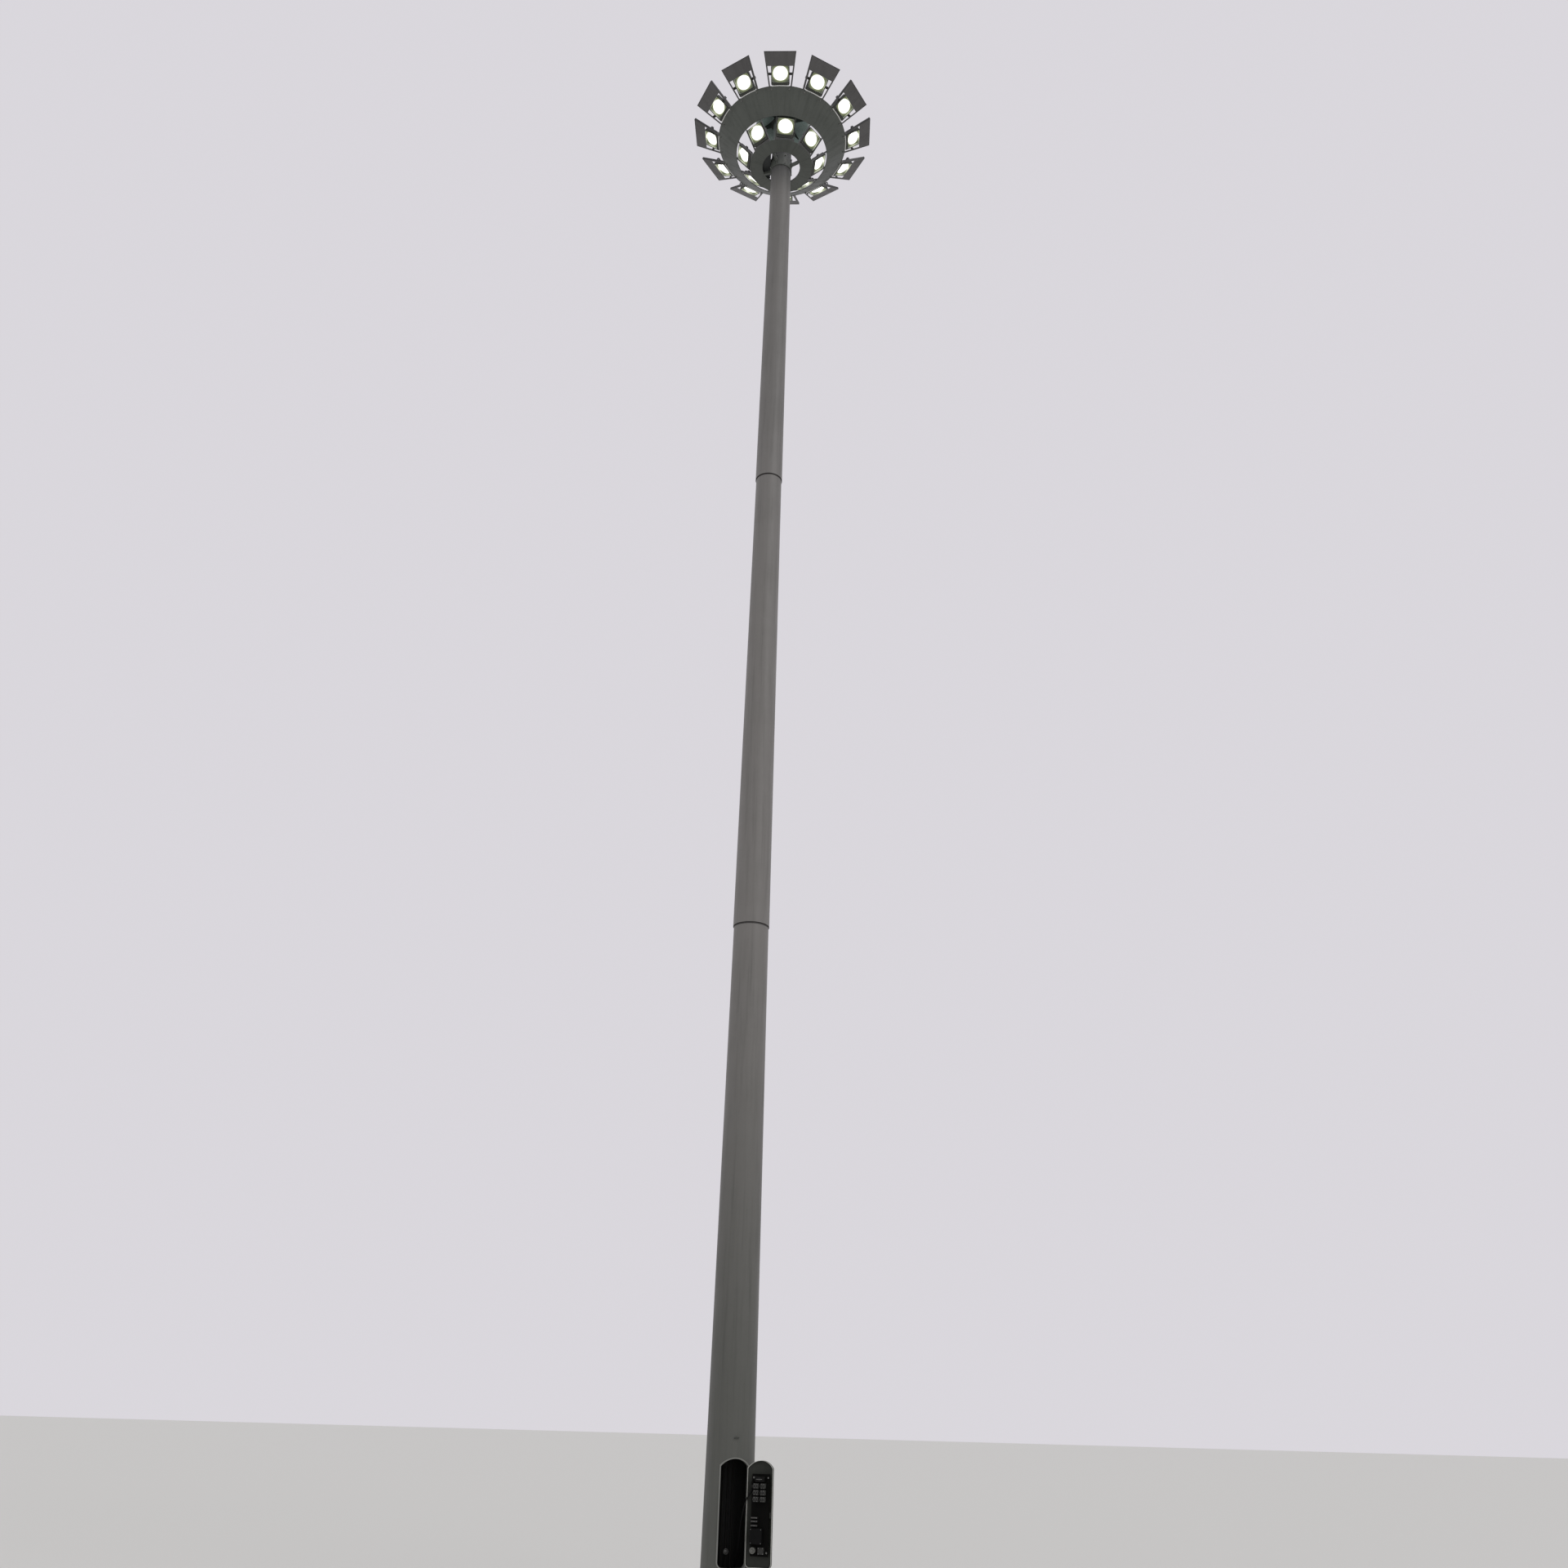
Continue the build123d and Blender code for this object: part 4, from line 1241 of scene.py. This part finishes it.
    def edge_seal(self) -> Piece:
        """Model the rubber seal along the leaf's folded rim, from the rim's own edge; its pale colour is partly a
        painted highlight along that edge.

        Returns:
            The seal.
        """
        seal = Bench.new("door_seal", self.leaf.data.copy())
        Bench.take(seal)
        Bench.edit("VERT", "SELECT")
        bpy.ops.mesh.remove_doubles(threshold=1e-6)
        closed = self.opened().inverted()

        def off_rim(face: bpy.types.MeshPolygon) -> bool:
            """Tell a face of the leaf from one of the rim's edge.

            Args:
                face: a face of the leaf's copy.

            Returns:
                Whether any of its corners is away from the rim's edge.
            """
            for index in face.vertices:
                spot = closed @ seal.data.vertices[index].co
                depth = self.sill_radius - self.taper * spot.z - hypot(spot.x, spot.y)
                if abs(depth - self.rim_depth) > self.rim_margin:
                    return True
            return False

        Bench.pick_faces(seal, off_rim)
        bpy.ops.mesh.delete(type="FACE")
        bpy.ops.mesh.select_all(action="SELECT")
        bpy.ops.mesh.inset(thickness=self.seal_lap, use_outset=True, use_boundary=True)
        Bench.done()
        Bench.thicken(seal, thickness=self.seal_wall, offset=1.0)
        Bench.soften(seal, self.seal_edge)
        return seal

    def strap_bolts(self) -> Piece:
        """Model the bolts through the hinge straps on the leaf."""
        turn = self.opened() @ self.beside_hinge()
        return self.hinge_bolts("leaf_strap_bolts", turn, self.strap_spot, list(self.hinge_levels))

    def bracket_bolts(self) -> Piece:
        """Model the bolts through the hinge brackets on the shaft."""
        ends = [level + end for level in self.hinge_levels for end in (-self.bracket_reach, self.bracket_reach)]
        return self.hinge_bolts("bracket_bolts", self.beside_hinge(), self.bracket_spot, ends)

    def hinge_bolts(self, name: str, frame: Matrix, spot: Pair, levels: list[float]) -> Piece:
        """Model bolts at a spot across and behind the frame on the hinge line, one at each level."""
        places = [frame @ facing((*spot, level)) for level in levels]
        return Bench.repeat(self.strap_bolt.build(), places, name)

    def beside_hinge(self) -> Matrix:
        """Frame on the hinge line with Y pointing into the shaft."""
        return Matrix.Translation(self.hinge) @ swung(self.hinge_azimuth)

    def pin_caps(self) -> Piece:
        """Model the heads at both ends of the hinge pins.

        Returns:
            The heads as one piece.
        """
        places = []
        for level in self.hinge_levels:
            for end, flip in ((-self.pin_reach, pi), (self.pin_reach, 0.0)):
                places.append(facing((*self.hinge[:2], level + end), flip))
        return Bench.repeat(self.pin_head.build(), places, "hinge_pin_heads")

    def lock_insert(self) -> Piece:
        """Model the three-sided drive in the lock's outer face, in a round collar.

        Returns:
            The insert.
        """
        insert = Bench.join([self.collar.build(), self.drive.build()], "lock_insert")
        insert.data.transform(self.opened() @ facing(self.lock))
        return insert

    def build(self) -> None:
        """Add the door's fittings."""
        self.add(self.switch_handle(), "", Body.DOOR)
        self.add(self.toggles(), "toggle_plastic", Body.DOOR)
        self.add(self.fuse_cap(), "ceramic_plastic", Body.DOOR)
        self.add(self.screws(), "bolt_zinc", Body.DOOR)
        self.add(self.board_nuts(), "bolt_zinc", Body.DOOR)
        self.add(self.edge_seal(), "seal_rubber", Body.DOOR)
        for make in (self.lock_insert, self.strap_bolts):
            self.add(make(), "bolt_zinc", Body.DOOR)
        for make in (self.bracket_bolts, self.pin_caps):
            self.add(make(), "bolt_zinc")


@dataclass
class ShaftInside(Assembly):
    """Earth clamp on the middle cable inside the shaft, seen through the door."""

    block: Block = Block((0.03, 0.012, 0.024), (0.0, 0.046, 0.541), 0.003)
    ring: Bead = Bead((0.021, 0.0), (0.008, 0.007), 32)
    ring_spot: Point = (0.0, 0.037, 0.541)

    def build(self) -> None:
        """Add the clamp: a block on the cable with a ring that faces the door."""
        block, ring = self.block.build(), self.ring.build("clamp_ring")
        ring.data.transform(facing(self.ring_spot))
        self.add(Bench.join([block, ring], "earth_clamp"), "cleat_steel")


@dataclass
class DoorCable(Assembly):
    """Black cable from the switchgear board over the leaf's edge and down inside the mast."""

    diameter: float = 0.013
    length: float = 0.957
    relief_length: float = 0.024
    relief_radii: Pair = (0.0078, 0.0092)
    route: tuple[Point, ...] = (
        (0.156642, -0.281139, 1.1),
        (0.156642, -0.281139, 1.055),
        (0.103, -0.283, 0.99),
        (0.084, -0.253, 0.915),
        (0.08, -0.201, 0.83),
        (0.08, -0.153, 0.735),
        (0.083, -0.11, 0.625),
        (0.086, -0.065, 0.53),
        (0.083, -0.02, 0.463),
        (0.076, 0.024, 0.412),
        (0.0715, 0.056, 0.362),
        (0.07, 0.0645, 0.3),
        (0.07, 0.0645, 0.25),
    )

    def relief(self) -> Piece:
        """Model the tapered strain relief under the board's gland.

        Returns:
            The relief.
        """
        Bench.take()
        x, y, z = self.route[0]
        bpy.ops.mesh.primitive_cone_add(
            vertices=24,
            radius1=self.relief_radii[0],
            radius2=self.relief_radii[1],
            depth=self.relief_length,
            location=(x, y, z - self.relief_length / 2),
        )
        piece = Bench.settle(bpy.context.object)
        piece.name = "cable_relief"
        Bench.edit()
        Bench.pick_faces(piece, lambda face: abs(face.normal.z) < 0.5)
        bpy.ops.mesh.subdivide(number_cuts=3)
        Bench.done()
        Bench.soften(piece, 0.0008)
        return self.add(piece, "toggle_plastic", Body.DOOR)

    def spline(self, name: str, bevel: float) -> Piece:
        """Lay a smooth line over the route.

        Args:
            name: the curve's name.
            bevel: the tube's radius, 0 for the bare line.

        Returns:
            The curve object.
        """
        curve = bpy.data.curves.new(name, "CURVE")
        curve.dimensions = "3D"
        curve.resolution_u = 12
        curve.bevel_depth = bevel
        curve.bevel_resolution = 4
        curve.use_fill_caps = True
        line = curve.splines.new("NURBS")
        line.points.add(len(self.route) - 1)
        for control, point in zip(line.points, self.route):
            control.co = (*point, 1.0)
        line.order_u = 3
        line.use_endpoint_u = True
        return Bench.new(name, curve)

    def build(self) -> None:
        """Add the cable as a tube along its route."""
        bare = self.spline("cable_line", 0.0)
        path = [tuple(point.co) for point in bpy.data.meshes.new_from_object(bare).vertices]
        bpy.data.objects.remove(bare)
        tube = self.spline("cable_tube", self.diameter / 2)
        cable = Bench.new("supply_cable", bpy.data.meshes.new_from_object(tube))
        bpy.data.objects.remove(tube)
        Bench.take(cable)
        Bench.smooth(50)
        self.palette.dress(cable, "cable_rubber")
        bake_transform(cable)
        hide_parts("door_cable")
        self.relief()
        log.info("supply cable follows %d points", len(path))


@dataclass
class Floodlights(Assembly):
    """Glasses, reflector walls, bezels, clips and screws of one ring of lamps, in the ring's tilted frame."""

    name: str
    frame: LampFrame
    start: float
    seat: float
    bezel_end: float
    width: float = 0.244
    length: float = 0.214
    glass_start: float = 0.041
    glass_back: float = 0.0336
    glass_face: float = 0.0287
    glass_slack: float = 0.0008
    glass_crown: tuple[Pair, ...] = ((0.006, 0.0004), (0.02, 0.0004), (0.04, 0.0003))
    crown_room: float = 0.0012
    wall_foot: float = 0.0004
    wall_end: float = 0.0006
    wall_gap: float = 0.008
    wall_lip: float = 0.0022
    wall: float = 0.0008
    wall_corner: float = 0.016
    edge: float = 0.0085
    edge_proud: float = 0.0035
    clip_size: Point = (0.014, 0.02, 0.003)
    clip_shifts: Pair = (-0.06, 0.04)
    clip_gap: float = 0.002
    clip_drop: float = 0.0045
    screw: Drum = Drum(0.0048, 0.003, 0.0008, 16)
    screw_spot: Pair = (0.108, 0.019)

    def centre(self) -> float:
        """Distance of the glass's centre from the frame's foot."""
        return self.start + self.glass_start + self.length / 2

    def sheet(self, depth: float, trim: float) -> Piece:
        """Lay a flat sheet over the glass, facing down, all of it selected in edit mode.

        Args:
            depth: its distance behind the housing's face.
            trim: how much narrower and shorter than the glass it is.

        Returns:
            The sheet, in edit mode.
        """
        Bench.take()
        place = (0, self.centre(), self.seat + depth)
        bpy.ops.mesh.primitive_plane_add(size=1.0, location=place, rotation=(pi, 0, 0))
        piece = Bench.settle(bpy.context.object, (self.width - trim, self.length - trim, 1.0))
        Bench.edit(action="SELECT")
        return piece

    def mapped(self, piece: Piece) -> Piece:
        """Lay a flat UV map over a piece, from 0 to 1 across the glass.

        Args:
            piece: the mesh in the lamp's frame.

        Returns:
            The piece.
        """
        layer = piece.data.uv_layers.active or piece.data.uv_layers.new(name="UVMap")
        for loop in piece.data.loops:
            spot = piece.data.vertices[loop.vertex_index].co
            along = (spot.y - self.centre()) / self.length + 0.5
            layer.data[loop.index].uv = (spot.x / self.width + 0.5, along)
        return piece

    def glass(self) -> Piece:
        """Model one slightly crowned glass at the back of its pocket.

        Returns:
            The glass in the lamp's frame.
        """
        piece = self.sheet(self.glass_back, self.glass_slack)
        Bench.push(self.glass_face - self.glass_back + self.crown_room)
        for thickness, depth in self.glass_crown:
            bpy.ops.mesh.inset(thickness=thickness, depth=depth)
        Bench.done()
        Bench.smooth(40)
        return self.mapped(piece)

    def reflector(self) -> Piece:
        """Model the four bright walls from the glass out to the housing's face, with rounded corners.

        Returns:
            The walls in the lamp's frame.
        """
        piece = self.sheet(self.glass_face - self.wall_foot, self.wall_gap)
        Bench.push(self.wall_end - self.glass_face)
        spread = (self.width - self.wall_lip) / (self.width - self.wall_gap)
        bpy.ops.transform.resize(value=(spread, spread, 1.0))
        Bench.pick_faces(piece, lambda face: abs(face.normal.z) > 0.9)
        bpy.ops.mesh.delete(type="FACE")
        bpy.ops.mesh.select_mode(type="EDGE")
        bpy.ops.mesh.select_all(action="SELECT")
        bpy.ops.mesh.region_to_loop()
        bpy.ops.mesh.select_all(action="INVERT")
        bpy.ops.mesh.bevel(offset=self.wall_corner, segments=4)
        Bench.face_out()
        Bench.done()
        Bench.thicken(piece, thickness=self.wall, offset=-1.0)
        Bench.smooth(40)
        return self.mapped(piece)

    def bezel(self) -> Piece:
        """Model one frame round the pocket's mouth, proud of the housing's face, ending short of the petal.

        Returns:
            The bezel in the lamp's frame.
        """
        piece = self.sheet(0.0, -1.5 * self.edge)
        bpy.ops.mesh.inset(thickness=self.edge, depth=0.0)
        bpy.ops.mesh.delete(type="FACE")
        bpy.ops.mesh.select_all(action="SELECT")
        Bench.push(-self.edge_proud)
        Bench.face_out()
        bpy.ops.mesh.select_all(action="SELECT")
        end = (0, self.bezel_end, 0)
        bpy.ops.mesh.bisect(plane_co=end, plane_no=(0, 1, 0), use_fill=True, clear_outer=True)
        Bench.done()
        Bench.soften(piece, 0.001, 1)
        return self.mapped(piece)

    def clips(self) -> Piece:
        """Model the clips beside the glass and the screws on the housing's dark end.

        Returns:
            The parts in the lamp's frame.
        """
        made = []
        across, along = self.screw_spot
        for side in (-1, 1):
            for shift in self.clip_shifts:
                beside = side * (self.width / 2 + self.clip_gap)
                centre = (beside, self.centre() + shift, self.seat - self.clip_drop)
                made.append(Block(self.clip_size, centre, 0.0008).build())
            screw = self.screw.build()
            screw.data.transform(facing((side * across, self.start + along, self.seat), pi))
            made.append(screw)
        return Bench.join(made, "clips")

    def build(self) -> None:
        """Add the ring's glasses, reflectors, bezels and clips."""
        places = self.frame.places()
        for make, kind, finish, slot in (
            (self.glass, "glasses", "lit_glass", "lamp_glass"),
            (self.reflector, "reflectors", "reflector", "lamp_glass"),
            (self.bezel, "bezels", "lamp_bezel", "lamp_casting"),
            (self.clips, "clips", "bolt_zinc", ""),
        ):
            piece = self.add(Bench.repeat(make(), places, f"{self.name}_{kind}"), finish, slot=slot)
            if make == self.glass:
                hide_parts(f"{self.name}_lenses")


@dataclass
class Crown(Assembly):
    """Rolled rims of the band and inner ring, pale strips painted as the lamps' highlight on the band's rim, bolts
    of petals and hub, and the junction box's lid.
    """

    petals: LampFrame
    band_sheet: float = 0.005
    band_bead: Pair = (0.01, 0.01)
    ring_sheet: float = 0.006
    ring_bead: Pair = (0.011, 0.011)
    root: float = 0.028
    bolt_azimuth: float = 8.0
    strip_shift: float = 0.0015
    strip_size: Pair = (0.012, 0.008)
    strip_reach: float = 15.5
    hub_radius: float = 0.16057
    hub_levels: Pair = (18.63, 18.8)
    hub_count: int = 8
    hub_phase: float = 7.0
    box_azimuth: float = -103.0
    lid: Block = Block((0.436, 0.004, 0.166), (0.0, -0.2877, 18.84), 0.0012)
    lid_screw: Drum = Drum(0.006, 0.004, 0.001, 16)
    lid_screws: Corners = Corners((-0.2, 0.2), (18.775, 18.905), 0.2895)
    bolt: HexBolt = HexBolt(0.017, 0.009, 0.012, 0.002, 0.006, 0.005)

    def slope(self) -> float:
        """Slope of the band, in radians."""
        return atan2(BAND_UPPER[1] - BAND_LOWER[1], BAND_UPPER[0] - BAND_LOWER[0])

    def rims(self) -> list[Piece]:
        """Model the rolled edges of the band and of the inner ring.

        Returns:
            The three beads.
        """
        slope, half = self.slope(), self.band_sheet / 2
        beads = []
        for name, (radius, level) in (("band_lower_rim", BAND_LOWER), ("band_upper_rim", BAND_UPPER)):
            middle = (radius - sin(slope) * half, level + cos(slope) * half)
            beads.append(Bead(middle, self.band_bead, 144).build(name))
        middle = (RING_RIM[0], RING_RIM[1] + self.ring_sheet / 2)
        beads.append(Bead(middle, self.ring_bead, 128).build("ring_rim"))
        return beads

    def petal_bolts(self) -> Piece:
        """Model the bolts through the band under each petal's root.

        Returns:
            The bolts as one piece.
        """
        level = BAND_UPPER[1] - self.root * tan(self.slope())
        seat = facing((0, self.root - BAND_UPPER[0], level), pi - self.slope())
        places = []
        for offset in (-self.bolt_azimuth, self.bolt_azimuth):
            places += round_axis(seat, self.petals.count, self.petals.phase + offset)
        return Bench.repeat(self.bolt.build(), places, "petal_bolts")

    def rim_highlight_strips(self) -> Piece:
        """Model the pale strips on the band's rim under each lamp, a painted highlight of the lamps' light.

        Returns:
            The strips as one piece.
        """
        rim = (BAND_UPPER[0] + self.strip_shift, BAND_UPPER[1] - self.strip_shift)
        strip = Bead(rim, self.strip_size, 12, self.strip_reach).build("strip")
        places = round_axis(Matrix.Identity(4), self.petals.count, self.petals.phase)
        return Bench.repeat(strip, places, "rim_highlight_strips")

    def hub_bolts(self) -> Piece:
        """Model the bolts that clamp the hub on the shaft.

        Returns:
            The bolts as one piece.
        """
        places = []
        for level in self.hub_levels:
            places += round_axis(facing((0, -self.hub_radius, level)), self.hub_count, self.hub_phase)
        return Bench.repeat(self.bolt.build(), places, "hub_bolts")

    def box_lid(self) -> Piece:
        """Model the junction box's lid with its four screws.

        Returns:
            The lid.
        """
        parts = [self.lid.build()]
        for x, z, proud in self.lid_screws.spots():
            screw = self.lid_screw.build()
            screw.data.transform(facing((x, -proud, z)))
            parts.append(screw)
        lid = Bench.join(parts, "junction_box_lid")
        lid.data.transform(swung(self.box_azimuth))
        return lid

    def build(self) -> None:
        """Add the rims, bolts, painted rim highlights and lid."""
        for bead in self.rims():
            self.add(bead, "crown_paint", slot="crown_paint")
        self.add(self.petal_bolts(), "bolt_zinc")
        self.add(self.hub_bolts(), "bolt_zinc")
        # pale strips under each lamp: painted highlight of the lamps' light on the band's rim
        self.add(self.rim_highlight_strips(), "rim_highlight_white")
        self.add(self.box_lid(), "box_paint")


@dataclass
class Hood(Assembly):
    """Folded rim and standing seams of the rain hood."""

    radius: float = 0.385
    crown: float = 0.06
    rise: float = 0.25
    lip: Bead = Bead((0.397, 19.603), (0.03, 0.008), 96)
    seam_level: float = 19.764
    seam_gap: float = 0.03
    seam_size: Pair = (0.006, 0.008)
    seams: int = 8

    def build(self) -> None:
        """Add the hood's folded rim and its standing seams."""
        # the lip's underside is painted lamplight through its finish
        self.add(self.lip.build("hood_lip"), "hood_trim")
        run = self.radius - self.crown
        length = sqrt(run**2 + self.rise**2) - self.seam_gap
        seam = Block((self.seam_size[0], length, self.seam_size[1]), (0, 0, 0), 0.002).build()
        middle = (0.0, -(self.radius + self.crown) / 2, self.seam_level)
        places = round_axis(facing(middle, atan2(self.rise, run)), self.seams, 180 / self.seams)
        self.add(Bench.repeat(seam, places, "hood_seams"), "hood_paint", slot="petal_paint")


@dataclass
class PackedPieces(Assembly):
    """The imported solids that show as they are, each with its finish."""

    nodes: dict[str, Piece]
    record: dict
    special: dict[str, str] = field(
        default_factory=lambda: {
            "door_frame": "frame_paint",
            "shaft_lug": "lug_paint",
            "rain_hood": "hood_paint",
            "riser_cables": "riser_sheath",
            "outer_lenses": "lit_glass",
            "inner_lenses": "lit_glass",
        }
    )

    def build(self) -> None:
        """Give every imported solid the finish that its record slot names, or its own."""
        slots = {row["node"]: row["material_slot"] for row in self.record["subparts"]}
        for name, piece in self.nodes.items():
            self.palette.dress(piece, self.special.get(name, slots[name]))
        log.info("dressed %d packed pieces", len(self.nodes))


@dataclass
class Studio:
    """Floor, soft light, backdrop and the camera at the photograph's angle."""

    place: Point = (-3.149, -13.641, 1.6)
    turn: float = -13.0
    yaw: float = 1.30
    pitch: float = 25.80
    roll: float = 1.69
    lens: float = 30.437
    backdrop: Colour = (0.7, 0.68, 0.72)
    floor: Colour = (0.62, 0.61, 0.6)
    floor_size: float = 400.0
    sky: float = 0.8
    sun: float = 0.5
    sun_width: float = 35.0
    sun_angles: Pair = (52.0, 28.0)

    def camera(self) -> None:
        """Add the camera with its heading, tilt and roll."""
        yaw, pitch, roll = radians(self.yaw), radians(self.pitch), radians(self.roll)
        ahead = Vector((sin(yaw) * cos(pitch), cos(yaw) * cos(pitch), sin(pitch)))
        level = Vector((cos(yaw), -sin(yaw), 0.0))
        upright = level.cross(ahead)
        right = level * cos(roll) + upright * sin(roll)
        up = upright * cos(roll) - level * sin(roll)
        axes = Matrix((right, up, -ahead)).transposed().to_4x4()
        data = bpy.data.cameras.new("camera")
        data.lens = self.lens
        data.sensor_width = 36.0
        data.clip_end = 500.0
        camera = Bench.new("camera", data)
        camera.matrix_world = Matrix.Translation(self.place) @ swung(self.turn) @ axes
        bpy.context.scene.camera = camera

    def ground(self) -> None:
        """Add the plain pale floor."""
        Bench.take()
        bpy.ops.mesh.primitive_plane_add(size=self.floor_size, location=(0, 0, -0.001))
        floor = bpy.context.object
        floor.name = "floor"
        shader = Shader(bpy.data.materials.new("floor_plain"))
        floor.data.materials.append(shader.finish(Base_Color=(*self.floor, 1.0), Roughness=0.9))

    def light(self) -> None:
        """Add the even sky, shown as the pale backdrop, and one soft key lamp."""
        shader = Shader(bpy.data.worlds.new("studio_world"))
        bpy.context.scene.world = shader.owner
        rays = shader.node("ShaderNodeLightPath").outputs
        seen = Value(shader, rays["Is Camera Ray"])
        for other in ("Is Glossy Ray", "Is Transmission Ray"):
            seen = shader.maths("MAXIMUM", seen, Value(shader, rays[other]))
        even = shader.node("ShaderNodeBackground", {}, {0: (1.0, 1.0, 1.0, 1.0), 1: self.sky})
        shown = shader.node("ShaderNodeBackground", {}, {0: (*self.backdrop, 1.0), 1: 1.0})
        mix = shader.node("ShaderNodeMixShader", {}, {0: seen, 1: even.outputs[0], 2: shown.outputs[0]})
        shader.node("ShaderNodeOutputWorld", {}, {0: mix.outputs[0]})
        data = bpy.data.lights.new("key", "SUN")
        data.energy = self.sun
        data.angle = radians(self.sun_width)
        key = Bench.new("key", data)
        key.rotation_euler = (radians(self.sun_angles[0]), 0.0, radians(self.sun_angles[1]))

    def build(self) -> None:
        """Set up the camera, floor and light."""
        self.camera()
        self.ground()
        self.light()
        bpy.context.scene.view_settings.view_transform = "Standard"


@dataclass
class Tower:
    """The whole tower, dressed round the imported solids."""

    frame: dict
    palette: Palette

    def lamp_rings(self) -> tuple[LampFrame, LampFrame]:
        """Set the frames of the rings of lamps, the inner one on a chord between the ring and the band.

        Returns:
            The outer ring's frame and the inner one's.
        """
        foot, head = (sqrt(radius**2 - HALF_INNER_LAMP**2) for radius in (RING_RIM[0], BAND_LOWER[0]))
        tilt = degrees(atan2(BAND_LOWER[1] - RING_RIM[1], head - foot))
        outer = LampFrame(*BAND_UPPER, tilt=33.6, count=12, phase=13.5)
        inner = LampFrame(foot, RING_RIM[1], tilt=tilt, count=8, phase=-9.0)
        return outer, inner

    def build(self) -> None:
        """Build every sub-assembly in order."""
        nodes = self.frame["nodes"]
        outer, inner = self.lamp_rings()
        DoorCable(self.palette).build()
        PackedPieces(self.palette, nodes, self.frame["record"]).build()
        Foundation(self.palette).build()
        DoorGear(self.palette, nodes["door_leaf"]).build()
        ShaftInside(self.palette).build()
        Floodlights(self.palette, "outer", outer, start=0.003, seat=0.0043, bezel_end=0.2535).build()
        Floodlights(self.palette, "inner", inner, start=0.05, seat=0.0003, bezel_end=1.0).build()
        Crown(self.palette, outer).build()
        Hood(self.palette).build()


def main() -> None:
    """Build the studio and the tower."""
    logging.basicConfig(level=logging.INFO, format="%(message)s")
    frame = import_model()
    Studio().build()
    Tower(frame, Palette()).build()


if __name__ == "__main__":
    main()
